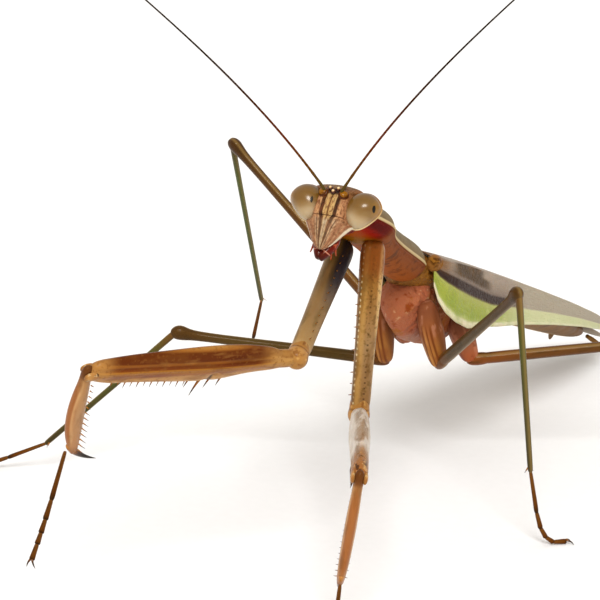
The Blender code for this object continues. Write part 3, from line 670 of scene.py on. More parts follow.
jaw = growTube("mandible", (
    (-2.2, 0.35, 0.5, -0.2), (-1.8, 0.55, 0.6, -0.25), (-1.0, 0.75, 0.7, -0.15), (0.0, 0.85, 0.75),
    (1.0, 0.7, 0.6, 0.1), (1.5, 0.3, 0.3, 0.1),
), 14, 2)
keepSpot(jaw)
for sideName, sign in bothSides:
    single = copied(jaw, "mandible_" + sideName, [
        Matrix.Translation((sign * 0.52 + 0.06, -0.35, -3.55 - 0.1 * sign))
        @ Matrix.Rotation(sign * 0.3 + 0.15, 4, "Y") @ Matrix.Scale(0.72, 4)])
    fitToHead(single, "mouthparts", maroonMaterial)
bpy.data.objects.remove(jaw)

lip = growTube("labium", (
    (-4.25, 0.35, 0.3, 0.15), (-4.05, 0.6, 0.42, 0.15), (-3.5, 0.85, 0.5, 0.3), (-2.8, 1.0, 0.6, 0.55),
    (-2.0, 1.1, 0.7, 0.85), (-1.2, 0.8, 0.5, 1.1),
), 16, 2)
keepSpot(lip, lambda point: Vector((point.x, point.y, point.z + 3.0)))
fitToHead(lip, "mouthparts", throatMaterial, "mouthparts")

palp = growTube("palp", (
    (0.0, 0.13), (0.3, 0.15), (0.62, 0.12), (0.66, 0.14), (1.2, 0.17), (1.26, 0.13),
    (1.3, 0.14), (1.8, 0.12), (1.95, 0.05),
), 10, 2)
curl(palp, 2.2)
keepSpot(palp)
for sideName, sign in bothSides:
    for kind, root, lean, size in (
        ("maxillaryPalp_", (sign * 1.1, -0.25, -3.3), (sign * -0.25, -0.2, -1.0), 0.6),
        ("labialPalp_", (sign * 0.35 + 0.3, -0.3, -4.1), (sign * 0.2 + 0.3, -0.5, -0.6), 0.48),
    ):
        matrix = standing(Vector(root), Vector(lean).normalized(), size, size)
        single = copied(palp, kind + sideName, [matrix])
        fitToHead(single, "mouthparts", pinkMaterial)
bpy.data.objects.remove(palp)
print("mouthparts made")

# neck: soft red-brown membrane between the head and the prothorax
neckLook = {
    "along": ((-1.0, "7c1c0c"), (1.5, "7a1408"), (4.0, "9c3c1a")),
    "grain": 0.15, "roughness": 0.4, "glow": 0.15,
    "layers": (("b8601c", 0.8, ("noise", 1.1, 0.5, 0.62)), ("3c0805", 0.7, ("noise", 0.8, 0.55, 0.66))),
    "relief": ((1.2, "noise", 0.5, 0.3, 0.7, (0.3, 0.3, 1.0)),), "bump": 0.8,
}
neckStart = prothoraxFront - prothoraxUp * 0.25 - prothoraxAim * 0.8
neckEnd = onHead(0.0, -1.2, -0.35)
neckAim = (neckEnd - neckStart).normalized()
neckSpan = (neckEnd - neckStart).length
neckTube = growTube("neckMembrane", (
    (0.0, 1.5, 1.3), (neckSpan * 0.2, 1.65, 1.45), (neckSpan * 0.45, 1.7, 1.6, -0.1),
    (neckSpan * 0.75, 1.7, 1.5, -0.1), (neckSpan, 1.5, 1.35),
), 18, 2)


def neckFolds(point):
    swell = 1.0 + 0.04 * math.sin(point.z * 7.0)
    return Vector((point.x * swell, point.y * swell, point.z))


shape(neckTube, neckFolds)
neckPlace = neckStart, neckAim, squareTo(neckAim, prothoraxUp)
settle(neckTube, neckPlace, "neck", cuticle("neckMembraneSkin", neckLook), "neck")

# prothorax
prothorax = {
    "rows": (
        (0.2, 1.5, 1.3, 0.2), (0.6, 2.3, 2.0, 0.3), (3.0, 2.5, 2.15, 0.3), (8.0, 2.1, 1.95, 0.25),
        (13.5, 1.95, 1.9, 0.25), (17.0, 2.3, 2.0, 0.25), (20.3, 3.3, 2.1, 0.25), (22.5, 3.15, 1.85, 0.25),
        (25.0, 2.6, 1.7, 0.1), (26.6, 2.1, 1.55, 0.05), (27.0, 1.5, 1.2, 0.0),
    ),
    "throatRise": 0.55, "edgeHeight": 0.25, "crease": 19.6,
}
# neck shield: dry, nearly matt cuticle with a pale band along its edge, and bare red skin below at the front
pronotumLook = {
    "along": (
        (-2.2, "a86c48"), (-0.8, "986448"), (0.0, "905e46"), (0.12, "8a5842"), (0.16, "cdbb96"),
        (0.42, "d0c09c"), (0.5, "8f7d62"), (1.2, "90836c"), (2.1, "85785f"),
    ),
    "axis": "y",
    "layers": (
        ("6d5c44", 0.5, ("noise", 1.6, 0.45, 0.7), ("y", 0.4, 0.6)),
        ("5c3a2c", 0.45, ("noise", 1.0, 0.5, 0.7), ("y", 0.1, -0.1)),
        ("4a4038", 0.5, ("noise", 2.2, 0.58, 0.66), ("y", 0.1, -0.3)),
        ("7b4a2a", 0.6, ("bandx", 0.0, 0.1, 0.08), ("y", 0.6, 1.0)),
        ("701006", 0.97, ("z", 20.4, 22.6), ("y", 0.25, 0.0)),
        ("660804", 0.8, ("z", 21.5, 23.5), ("y", 0.2, -0.1), ("noise", 1.0, 0.45, 0.6)),
        ("a82408", 0.9, ("z", 21.0, 23.0), ("y", -0.6, -1.1), ("noise", 1.5, 0.36, 0.5)),
        ("b8862c", 0.9, ("z", 18.0, 20.0), ("y", -1.0, -1.35)),
    ),
    "grain": 0.14, "bump": 0.35, "roughness": 0.6, "coat": 0.0, "specular": 0.06,
}


def prothoraxForm(point):
    halfWidth, halfHeight, lift = rowAt(prothorax["rows"], point.z)
    up = (point.y - lift) / halfHeight
    ridge = 0.16 * bump(0.0, 0.3, point.x) * smooth(0.3, 0.9, up)
    ridge -= 0.22 * bump(prothorax["crease"], 0.35, point.z) * smooth(0.0, 0.7, up)
    flange = 0.14 * bump(prothorax["edgeHeight"], 0.2, point.y) * smooth(0.3, 1.0, abs(point.x) / halfWidth)
    below = 0.12 * bump(0.0, 0.16, point.y + 0.15) * smooth(0.6, 1.0, abs(point.x) / halfWidth)
    point.y += ridge + prothorax["throatRise"] * smooth(13.0, 17.5, point.z) * smooth(-0.7, -2.0, point.y)
    point.x += math.copysign(flange - below, point.x)
    return point


shell = growTube("pronotum", prothorax["rows"], 28, 2)
refine(shell, "SUBSURF", levels=1, render_levels=1)
shape(shell, prothoraxForm)
pronotumMaterial = cuticle("pronotumCuticle", pronotumLook)
settle(shell, (waist, prothoraxAim, prothoraxUp), "prothorax", pronotumMaterial, "prothorax")
print("prothorax made")

# thorax and abdomen
trunkRows = {
    "thorax": (
        (-1.5, 0.9, 0.9, -3.9), (-1.1, 2.1, 1.75, -3.85), (-0.2, 2.9, 2.4, -3.75), (1.0, 3.3, 3.25, -3.55),
        (2.4, 3.5, 3.85, -3.4), (5.0, 3.4, 3.98, -3.25), (9.0, 3.4, 3.9, -3.3), (12.0, 3.2, 3.35, -3.0),
        (13.2, 2.7, 2.6, -2.5), (13.7, 1.6, 1.5, -2.3),
    ),
    "abdomen": (
        (13.4, 1.5, 1.3, -2.2), (14.2, 2.6, 2.05, -2.1), (17.0, 3.2, 2.1, -1.75), (21.0, 3.4, 1.8, -1.45),
        (27.0, 3.5, 1.6, -1.2), (34.0, 3.4, 1.5, -1.15), (41.0, 3.0, 1.4, -1.15), (46.0, 2.5, 1.25, -1.2),
        (50.0, 1.9, 0.98, -1.27), (52.3, 1.1, 0.65, -1.3), (52.9, 0.5, 0.35, -1.3),
    ),
}
# thorax: soft mottled cuticle, in folds
thoraxLook = {
    "along": ((-3.0, "b07a62"), (2.0, "b07660"), (6.0, "a46c50"), (14.0, "8a5c44")),
    "layers": (
        ("b07c62", 0.5, ("noise", 1.6, 0.5, 0.66)),
        ("5e3c2e", 0.65, ("noise", 2.4, 0.56, 0.66)),
        ("843a1a", 0.6, ("noise", 1.2, 0.56, 0.68)),
        ("a06c30", 0.6, ("noise", 1.9, 0.58, 0.68)),
        ("c8a284", 0.7, ("noise", 0.8, 0.64, 0.7)),
        ("b08c7c", 0.75, ("y", -6.0, -7.0), ("bandz", 3.2, 1.8, 1.2)),
    ),
    "relief": ((2.4, "noise", 1.8, 0.35, 0.65), (0.5, "noise", 0.6, 0.3, 0.7)),
    "grain": 0.12, "bump": 0.6, "roughness": 0.5, "glow": 0.15,
}
# plate and knobs between the wing roots: harder, rough and a little glossy
tergumLook = {
    "along": ((-2.0, "8c6a4c"), (0.5, "9c7244"), (4.0, "80583a"), (9.0, "5c4430")),
    "layers": (
        ("4a2c14", 0.7, ("noise", 0.9, 0.5, 0.62)), ("b08450", 0.6, ("noise", 0.6, 0.58, 0.66)),
    ),
    "relief": ((1.5, "noise", 0.8, 0.35, 0.65),), "grain": 0.1, "bump": 0.6, "roughness": 0.4, "glow": 0.1,
}
# abdomen: thin elastic cuticle in overlapping rings
abdomenLook = {
    "along": ((13.0, "8a6a44"), (30.0, "94734a"), (53.0, "7d5c38")),
    "layers": (
        ("5f4526", 0.6, ("noise", 1.8, 0.5, 0.7)),
        ("b99b68", 0.7, ("bandx", 0.0, 0.5, 0.5), ("y", -1.5, -2.5)),
        ("77803c", 0.5, ("x", 2.0, 3.2)),
    ),
    "grain": 0.15, "bump": 0.35, "roughness": 0.45, "glow": 0.1,
}


def thoraxForm(point):
    halfWidth, halfHeight, middle = rowAt(trunkRows["thorax"], point.z)
    up = (point.y - middle) / halfHeight
    point.x *= 1.0 - 0.25 * (1.0 - min(max(up, -1.0), 1.0))
    side = smooth(0.2, 0.9, abs(point.x) / halfWidth)
    groove = 0.0  # the slanting seams between the side plates, with uneven skin between them
    for along, slant in ((1.9, 0.25), (5.3, 0.35), (9.0, 0.25), (11.6, 0.3)):
        groove += 0.3 * bump(along + slant * (point.y + 3.0), 0.32, point.z)
    groove += 0.2 * noise.noise(point * 0.8) + 0.12 * noise.noise(point * 1.9)
    point.x -= math.copysign(groove * side, point.x)
    point.y += 0.35 * groove * smooth(-0.2, -0.9, up)
    return point


chest = growTube("thorax", trunkRows["thorax"], 24, 3)
shape(chest, thoraxForm)
settle(chest, trunk, "thorax", cuticle("thoraxCuticle", thoraxLook), "thorax")

back = growTube("mesonotum", (
    (-1.9, 1.2, 0.9, -0.3), (-1.2, 2.2, 1.75, -0.1), (0.0, 2.6, 2.2, -0.05), (1.6, 2.8, 2.2, -0.25),
    (4.0, 3.0, 1.95, -0.6), (7.0, 2.6, 1.4, -0.9), (8.2, 1.2, 0.6, -1.2),
), 20, 2)
tergumMaterial = cuticle("tergumCuticle", tergumLook)
settle(back, trunk, "thorax", tergumMaterial)
for sideName, sign in bothSides:
    # the hinge knob at the root of each fore wing
    hinge = growTube("tegula_" + sideName, (
        (-0.75, 0.4, 0.5), (-0.45, 0.7, 0.85), (0.1, 0.8, 0.95), (0.8, 0.72, 0.8, 0.06),
        (1.5, 0.5, 0.5, 0.12), (2.1, 0.22, 0.22, 0.2),
    ), 16, 2)
    settle(hinge, (onTrunk(0.35, sign * 2.85, 0.85), tailward, trunkUp), "thorax", tergumMaterial)


def abdomenForm(point):
    halfWidth, halfHeight, middle = rowAt(trunkRows["abdomen"], point.z)
    firstRing, ringLength = 14.0, 4.6
    fromSeam = (point.z - firstRing + ringLength * 0.5) % ringLength - ringLength * 0.5
    seam = bump(0.0, 0.35, fromSeam)
    swell = 1.03 - 0.055 * seam
    return Vector((point.x * swell, middle + (point.y - middle) * swell, point.z))


abdomenMaterial = cuticle("abdomenCuticle", abdomenLook)
belly = growTube("abdomen", trunkRows["abdomen"], 20, 3)
shape(belly, abdomenForm)
settle(belly, trunk, "abdomen", abdomenMaterial, "abdomen")

cercusRows = [(0.0, 0.24)]
for number, size in enumerate((0.32, 0.36, 0.38, 0.37, 0.35, 0.31, 0.26, 0.2)):
    joint = number * 0.42
    cercusRows += [(0.15 + joint, size, size * 0.85), (0.4 + joint, size * 0.86, size * 0.7)]
cercusRows.append((3.42, 0.1))
for sideName, sign in bothSides:
    lean = (tailward + leftward * sign * 0.42 - trunkUp * 0.3).normalized()
    cercus = growTube("cercus_" + sideName, cercusRows, 12, 1)
    where = onTrunk(50.6, sign * 2.2, -1.75), lean, squareTo(lean, trunkUp)
    settle(cercus, where, "cercus", abdomenMaterial, "cercus_" + sideName)
print("thorax and abdomen made")

# wings
wings = {
    # along, half width, drop of the leading edge, height of the top, reach past the middle
    "rows": (
        (0.2, 3.0, 1.4, 2.05, -0.5), (0.9, 3.4, 2.8, 2.05, 0.0), (1.8, 4.0, 3.8, 2.05, 0.3),
        (3.7, 4.5, 4.5, 2.1, 0.9), (6.8, 4.6, 4.8, 2.15, 1.5), (10.2, 4.7, 4.3, 2.15, 1.9),
        (14.0, 4.9, 3.85, 2.12, 2.2), (20.0, 5.1, 3.0, 2.05, 2.7),
        (30.0, 5.1, 2.0, 1.9, 3.0), (40.0, 4.7, 1.25, 1.75, 2.8), (49.0, 3.9, 0.8, 1.55, 2.2),
        (55.0, 2.8, 0.6, 1.35, 1.5), (58.5, 1.7, 0.5, 1.15, 0.8), (60.0, 0.8, 0.4, 1.05, 0.3),
    ),
    "length": 60.0, "sideShare": 0.32, "arch": 0.75, "flare": 0.45, "thickness": 0.12,
    # how far the right wing dips to lie under the left one, from where and over what width
    "stack": 0.74, "stackFrom": 1.7, "stackOver": 1.2,
    "grid": (170, 72), "crowding": 1.25,  # of the points towards the root
    "fieldsFade": 0.15,  # share across over which the move below sets in
    # along, and how far the colour fields are moved up the flank there
    "fields": ((0.0, 0.05), (3.7, 0.036), (6.8, 0.026), (12.0, -0.009), (16.0, -0.012), (60.0, -0.012)),
}


def wingPoint(sign, along, share, stacked):
    halfWidth, drop, top, reach = rowAt(wings["rows"], along)
    shoulder = top - wings["arch"]
    if share < wings["sideShare"]:
        upFlank = share / wings["sideShare"]
        sideways = halfWidth + wings["flare"] * (1.0 - upFlank) ** 1.5
        return onTrunk(along, sign * sideways, -drop + (shoulder + drop) * upFlank)
    inward = (share - wings["sideShare"]) / (1.0 - wings["sideShare"])
    sideways = halfWidth - (halfWidth + reach) * inward
    height = top - wings["arch"] * (sideways / halfWidth) ** 2
    if stacked:
        dip = (reach + wings["stackFrom"] - sideways) / wings["stackOver"]
        height -= wings["stack"] * min(max(dip, 0.0), 1.0)
    return onTrunk(along, sign * sideways, height)


# the brown oval mark near the wing's root
oval = ("bandx", 0.268, 0.048, 0.012), ("bandy", 5.9, 3.0, 1.2)
# leathery fore wing: dull, with a faint silky run of veins along it
tegmenLook = {
    # x is the share across from the leading edge, y is along in millimetres
    "axis": "x",
    "along": (
        (0.0, "dcd2b0"), (0.022, "e4dcbc"), (0.034, "b0b868"), (0.05, "a2ae44"), (0.1, "a8b04a"),
        (0.138, "b4b664"), (0.15, "5c4a3c"), (0.16, "463634"), (0.196, "4c3c38"), (0.206, "8c7c70"),
        (0.222, "9a8a7c"), (0.26, "a69684"),
        (0.3, "ae9e8e"), (0.4, "b4a696"), (0.5, "b8ac9e"), (0.75, "b0a496"), (1.0, "a09080"),
    ),
    "layers": (
        ("5e4a32", 0.95, *oval),
        ("5e4a32", 0.9, ("bandx", 0.245, 0.025, 0.012), ("bandy", 9.6, 1.6, 1.2)),
        ("8c6a3c", 0.6, ("bandx", 0.27, 0.04, 0.015), oval[1], ("noise", 1.3, 0.45, 0.6, (14.0, 0.5, 1.0))),
        ("3c2c1e", 0.6, *oval, ("noise", 1.1, 0.55, 0.62, (14.0, 0.4, 1.0))),
        ("4c3c2e", 0.9, ("bandx", 0.318, 0.006, 0.01), ("bandy", 5.5, 2.6, 1.2)),
        ("b8ad98", 0.95, ("x", 0.125, 0.145), ("y", 15.0, 22.0)),
        ("8a6234", 0.85, ("y", 2.6, 0.8), ("x", 0.17, 0.24)),
        ("8fa238", 0.5, ("noise", 1.6, 0.45, 0.65, (9.0, 0.6, 1.0)), ("x", 0.14, 0.12)),
        ("c6cf84", 0.5, ("noise", 1.2, 0.55, 0.7, (9.0, 0.6, 1.0)), ("x", 0.14, 0.1)),
        ("e0e0b8", 0.75, ("x", 0.15, 0.13), ("y", 9.0, 24.0)),
        ("6f5f4c", 0.3, ("noise", 2.0, 0.45, 0.7, (30.0, 0.4, 1.0)), ("x", 0.3, 0.4)),
    ),
    "relief": (
        (1.6, "noise", 0.5, 0.35, 0.65, (30.0, 0.3, 1.0)), (1.0, "noise", 0.35, 0.4, 0.6, (14.0, 1.0, 1.0)),
    ),
    "grain": 0.12, "bump": 0.6, "roughness": 0.45, "glow": 0.15, "saturation": 0.92,
}
tegmenMaterial = cuticle("tegmenMembrane", tegmenLook)
for sideName, sign, stacked in (("left", 1.0, False), ("right", -1.0, True)):
    long, wide = wings["grid"]
    bpy.ops.mesh.primitive_grid_add(x_subdivisions=long, y_subdivisions=wide, size=1.0)
    wing = named("tegmen_" + sideName)
    spots = wing.data.attributes.new("spot", "FLOAT_VECTOR", "POINT")
    first = wings["rows"][0][0]
    for index, vertex in enumerate(wing.data.vertices):
        share = vertex.co.y + 0.5
        along = first + (wings["length"] - first) * (vertex.co.x + 0.5) ** wings["crowding"]
        bend = rowAt(wings["fields"], along)[0]
        spots.data[index].vector = (share - bend * min(share / wings["fieldsFade"], 1.0), along, 0.0)
        vertex.co = wingPoint(sign, along, share, stacked)
    if sign * wing.data.polygons[len(wing.data.polygons) // 2].normal.x < 0.0:
        bpy.ops.object.mode_set(mode="EDIT")
        bpy.ops.mesh.select_all(action="SELECT")
        bpy.ops.mesh.flip_normals()
        bpy.ops.object.mode_set(mode="OBJECT")
    refine(wing, "SOLIDIFY", thickness=wings["thickness"], offset=-1.0)
    placeAsMade(wing)
    finish(wing, "tegmen", tegmenMaterial, "tegmen_" + sideName)

# folded hind wings: dry parchment that lets light through
hindwingLook = {
    "along": ((52.0, "8e7d68"), (62.0, "a39682")), "grain": 0.2, "roughness": 0.4, "glow": 0.2,
    "layers": (("6a5a48", 0.5, ("noise", 0.9, 0.5, 0.7, (1.0, 1.0, 0.2))),),
}
folded = growTube("foldedHindwings", (
    (50.0, 1.9, 0.3, -0.6), (53.6, 1.75, 0.28, -0.7), (56.0, 1.5, 0.26, -0.8), (59.0, 1.1, 0.24, -0.9),
    (61.4, 0.75, 0.2, -0.95), (62.2, 0.35, 0.14, -0.95),
), 16, 2)
hindwingMaterial = cuticle("hindwingMembrane", hindwingLook)
settle(folded, trunk, "hindwing", hindwingMaterial, "hindwings")
print("wings made")

# legs
legs = {
    "foreCoxa": 14.5, "foreFemur": 19.8, "foreTibia": 10.3, "foreTarsus": 10.2,
    "foreRoot": (-7.0, 1.55, -0.3, -2.6),  # ahead, outwards, left and up of the prothorax's front
    "foreAnkle": (-0.35, 0.62),  # ahead and up of the tibia's tip
    # share along, sideways, length and thickness of each great spine of the fore femur
    "greatSpines": (
        (0.355, 0.25, 1.1, 1.1), (0.4, 0.1, 1.5, 1.25), (0.455, 0.25, 2.1, 1.5), (0.505, 0.15, 1.2, 1.1),
    ),
    # sideways, count, long and short
    "keelSpines": ((-0.34, 19, 0.85, 0.62), (0.34, 12, 0.8, 0.7)),
    "coxaSpines": 12, "tibiaSpines": ((-0.27, 16), (0.27, 13)), "foreClawTurn": 38.0, "foreClawBend": 5.2,
    # femur, tibia and tarsus; base, knee, top and end radius
    "mid": (21.8, 17.5, 9.4), "hind": (28.3, 28.0, 12.5),
    "midSizes": (0.62, 0.5, 0.36, 0.28), "hindSizes": (0.66, 0.56, 0.34, 0.28),
    "tarsusHeight": 0.305, "tarsusRadius": 0.27,
    "clawSpread": 0.55, "clawLift": 0.25, "clawBack": 0.12, "clawRise": 0.09,
    # length of each foot joint and how steep it is, as shares
    "tarsusShares": (0.46, 0.18, 0.12, 0.1, 0.14), "tarsusEases": (1.0, 0.93, 0.75, 0.45, 0.0),
}
# heading and pitch of each leg part, from the body outwards
poses = {
    "fore_left": {"coxa": (12.5, -78.2), "femur": (26.6, 2.1), "tibia": (-103.0, -80.1), "tarsus": (20.0,)},
    "fore_right": {
        "coxa": (11.4, -25.7), "femur": (-34.4, 2.8), "tibia": (-131.6, -59.1), "tarsus": (12.0, -46.0),
    },
    "mid_left": {"femur": (47.2, 33.6), "tibia": (119.8, -83.6), "tarsus": 132.0},
    "mid_right": {"femur": (-61.1, 6.3), "tibia": (-55.2, -41.7), "tarsus": -66.0},
    "hind_left": {"femur": (117.6, 7.3), "tibia": (150.1, -22.6), "tarsus": 152.0},
    "hind_right": {"femur": (-90.7, 41.1), "tibia": (-163.3, -52.0), "tarsus": -130.0},
}
# hips from the waist: left, back and up
hips = {
    "mid_left": (3.4, 1.66, -10.0), "mid_right": (-2.75, 1.85, -10.6),
    "hind_left": (3.89, 8.74, -11.2), "hind_right": (-4.2, 9.2, -10.3),
}

# spines and claws: hard chitin, glossy and nearly black at the tips; the feet are duller
spineLook = {
    "along": ((0.0, "b5854e"), (0.45, "8a5a2c"), (0.7, "2c1a10"), (1.0, "120c08")),
    "grain": 0.1, "roughness": 0.3, "coat": 0.3,
}
clawLook = {
    "along": ((-0.8, "b88a5c"), (0.1, "9a6838"), (0.7, "4a2a14"), (1.3, "1f140d"), (4.0, "0d0907")),
    "grain": 0.1, "roughness": 0.25, "coat": 0.4,
}
tarsusLook = {
    "along": ((0.0, "7a5636"), (0.8, "6a4427"), (1.0, "2c1c12")),
    "layers": (("3a2618", 0.5, ("noise", 0.6, 0.5, 0.7)),),
    "grain": 0.1, "roughness": 0.45,
}
spineMaterial = cuticle("spineCuticle", spineLook)
clawMaterial = cuticle("clawCuticle", clawLook)
tarsusMaterial = cuticle("tarsusCuticle", tarsusLook)
# leg cuticle: tanned and waxy, with a soft sheen along the limb; on the walking legs and the left fore femur
# part of that sheen is painted in pale colour
legLooks = {
    "foreCoxaLeft": {
        "along": ((0.0, "945c1c"), (2.5, "a07434"), (8.0, "9e805a"), (14.5, "8c683c")),
        "layers": (
            ("d6b47a", 0.9, ("bandx", 1.1, 0.12, 0.1)),
            ("ecdcb4", 0.85, ("bandx", -0.42, 0.07, 0.05), ("row", 0.56, 0.13, 0.07)),
            ("2c1a0c", 0.6, ("bandx", 0.5, 0.07, 0.05), ("row", 0.5, 0.11, 0.06), ("noise", 0.9, 0.4, 0.5)),
            ("2c1a0c", 0.6, ("bandx", -0.55, 0.05, 0.05), ("noise", 0.5, 0.4, 0.5)),
            ("6a5020", 0.5, ("noise", 0.35, 0.52, 0.62)),
            ("c09a58", 0.5, ("bandx", -0.1, 0.25, 0.2)),
            ("6f4c1c", 0.5, ("noise", 0.9, 0.5, 0.7, (1.0, 1.0, 0.3))),
            ("94540f", 0.6, ("z", 2.6, 0.6)),
        ),
    },
    "foreCoxaRight": {
        "along": ((0.0, "8a7440"), (4.0, "9c8054"), (9.0, "927650"), (13.0, "a88a5c"), (14.5, "c4a67a")),
        "layers": (
            ("14101a", 0.95, ("x", 0.1, 0.7), ("z", 6.5, 4.0)),
            ("4a4650", 0.6, ("x", 0.2, 0.8), ("z", 9.0, 6.0)),
            ("6f5a2c", 0.5, ("noise", 0.9, 0.5, 0.7, (1.0, 1.0, 0.3))),
        ),
    },
    "kneeLobe": {
        "along": ((-0.7, "a87840"), (0.2, "c09458"), (0.6, "8a5a28")),
        "layers": (
            ("3c2010", 0.8, ("noise", 0.5, 0.56, 0.62)), ("e0c090", 0.7, ("noise", 0.4, 0.55, 0.64)),
        ),
        "relief": ((1.2, "noise", 0.5, 0.4, 0.6),),
    },
    "foreTrochanter": {
        "along": ((-2.0, "9c7844"), (-0.8, "a87c40"), (0.0, "b98e54"), (1.0, "b08448")),
        "layers": (
            ("7a4a1c", 0.6, ("noise", 0.7, 0.5, 0.64)), ("d0a868", 0.6, ("noise", 0.5, 0.55, 0.66)),
            ("6c4216", 0.6, ("bandz", -0.45, 0.06, 0.12)),
        ),
        "relief": ((1.2, "noise", 0.6, 0.4, 0.6),),
    },
    "foreFemurRight": {
        "axis": "y",
        "along": (
            (-1.9, "d0b088"), (-1.4, "c8a272"), (-0.6, "bd9058"), (-0.35, "a66c28"), (0.1, "a87428"),
            (0.38, "ae7a2c"), (0.5, "84480c"), (0.75, "763e08"), (0.86, "945c18"), (1.02, "96601c"),
            (1.14, "6e3808"), (1.8, "6e3a0a"), (1.95, "a06c2c"), (2.1, "b08444"),
        ),
        "layers": (
            ("8a4a10", 0.85, ("bandy", -0.3, 0.3, 0.2), ("bandz", 14.8, 2.6, 1.6)),
            ("5f2e08", 0.5, ("bandy", 0.95, 0.5, 0.2), ("bandz", 5.5, 1.6, 1.2)),
            ("bd9458", 0.9, ("z", 4.5, 2.0)),
            ("b88c50", 0.8, ("z", 17.0, 19.0)),
            ("4a2c14", 0.9, ("bandz", 8.3, 0.14, 0.14), ("y", -0.5, -0.9)),
            ("80501c", 0.5, ("noise", 0.9, 0.5, 0.64, (1.0, 1.0, 0.3))),
            ("c89c58", 0.2, ("noise", 0.7, 0.54, 0.66, (1.0, 1.0, 0.25))),
            ("8a5c28", 0.5, ("noise", 0.3, 0.55, 0.65)),
        ),
        "relief": ((1.2, "bandy", 0.3, 0.1, 0.15),), "specular": 0.12,
    },
    # left fore femur: its greyish white tone, whitish mottling and whitish flat faces are painted sheen; the
    # orange and dark marks by the knee are its own colour
    "foreFemurLeft": {
        "along": (
            (0.0, "a88050"), (2.0, "b49c80"), (9.0, "ac967c"),
            (15.0, "b09478"), (17.5, "a87c4c"), (19.8, "a4703c"),
        ),
        "layers": (
            # painted sheen: whitish mottling, fading out towards the knee
            ("ddd4c8", 0.8, ("noise", 0.9, 0.46, 0.6, (1.0, 1.0, 0.25)), ("z", 17.0, 14.5)),
            ("8a6a44", 0.6, ("noise", 0.6, 0.52, 0.62, (1.0, 1.0, 0.25))),
            ("4a2c18", 0.8, ("noise", 0.6, 0.58, 0.64), ("z", 16.8, 18.0)),
            ("d6b078", 0.7, ("noise", 0.5, 0.56, 0.66), ("z", 16.0, 17.5)),
            # painted sheen: whitish flat faces on both sides, fading out towards the knee
            ("e2d8cc", 0.7, ("x", 0.45, 0.75), ("z", 17.0, 15.0)),
            ("e2d8cc", 0.7, ("x", -0.45, -0.75), ("z", 17.0, 15.0)),
        ),
        "relief": ((1.2, "bandy", 0.3, 0.1, 0.15), (1.5, "noise", 0.8, 0.4, 0.6)), "bump": 0.5, "glow": 0.2,
    },
    "foreTibia": {
        "along": ((0.0, "7c5020"), (0.7, "b48a5a"), (5.0, "b8926a"), (9.0, "b88a5c"), (10.5, "8a5626")),
        "layers": (
            ("a0622a", 0.75, ("y", 0.4, 0.85)),
            *mirrored("dcb888", 0.5, 0.42, 0.04, 0.05, ("y", 0.2, 0.6)),
            ("6a4018", 0.7, ("z", 0.9, 0.2)),
            ("7a5226", 0.4, ("noise", 0.8, 0.5, 0.7, (1.0, 1.0, 0.35))),
        ),
    },
    "midCoxa": {
        "along": ((0.0, "8a563a"), (2.5, "a2683a"), (5.0, "b07c3c"), (7.0, "a06a2c"), (8.0, "7c4c1c")),
        "layers": (
            ("5a2c0c", 0.85, ("bandx", 0.42, 0.05, 0.08), ("z", 1.0, 2.5)),
            ("6a340c", 0.8, ("bandx", -0.1, 0.04, 0.07), ("z", 1.0, 2.5)),
            ("6e3410", 0.8, ("bandx", -0.5, 0.08, 0.1), ("z", 1.0, 2.5)),
            ("cc9a58", 0.6, ("bandx", 0.16, 0.08, 0.1), ("z", 1.0, 3.0)),
            ("6c3a1c", 0.6, ("x", 0.75, 1.1)),
            ("6c3a18", 0.7, ("x", -0.7, -1.1)),
            ("8a5028", 0.5, ("noise", 0.9, 0.5, 0.66, (1.0, 1.0, 0.3))),
            ("b8866c", 0.6, ("noise", 0.7, 0.54, 0.66, (1.0, 1.0, 0.3)), ("z", 4.0, 2.0)),
        ),
        "coat": 0.0, "roughness": 0.45,
    },
    "hindCoxa": {
        "along": ((0.0, "8c5a44"), (3.0, "9c6448"), (5.0, "a85c2c"), (7.0, "94480f")),
        "layers": (
            ("7c4028", 0.6, ("bandx", 0.5, 0.14, 0.14)),
            ("c08a6c", 0.5, ("noise", 1.1, 0.5, 0.65, (1.0, 1.0, 0.4))),
            ("6e3820", 0.5, ("noise", 0.8, 0.55, 0.7)),
        ),
        "coat": 0.0, "roughness": 0.45,
    },
}
for name, long, *tones in (
    ("midFemur", 20.0, "7c4c22", "5e4a26", "5c4a26", "5c421e"),
    ("hindFemur", 28.0, "8a5220", "744c22", "62451f", "54391a"),
    ("midTibia", 17.5, "74522a", "5a5e30", "524e30", "423a22"),
    ("hindTibia", 28.0, "5c4e26", "5c6a34", "505c32", "444630"),
):
    legLooks[name] = {
        "along": ((0.0, tones[0]), (long * 0.2, tones[1]), (long * 0.8, tones[2]), (long, tones[3])),
        "layers": (
            ("3c3014", 0.5, ("noise", 0.7, 0.5, 0.7, (1.0, 1.0, 0.2))),
            # painted sheen: a pale stripe along the top and the underside of each walking femur and tibia
            ("a58c58", 0.45, ("bandx", 0.0, 0.1, 0.2)),
        ),
    }
waxy = {"grain": 0.1, "bump": 0.3, "roughness": 0.36, "glow": 0.1, "coat": 0.08, "saturation": 0.98}
legMaterials = {name: cuticle(name + "Cuticle", {**waxy, **look}) for name, look in legLooks.items()}

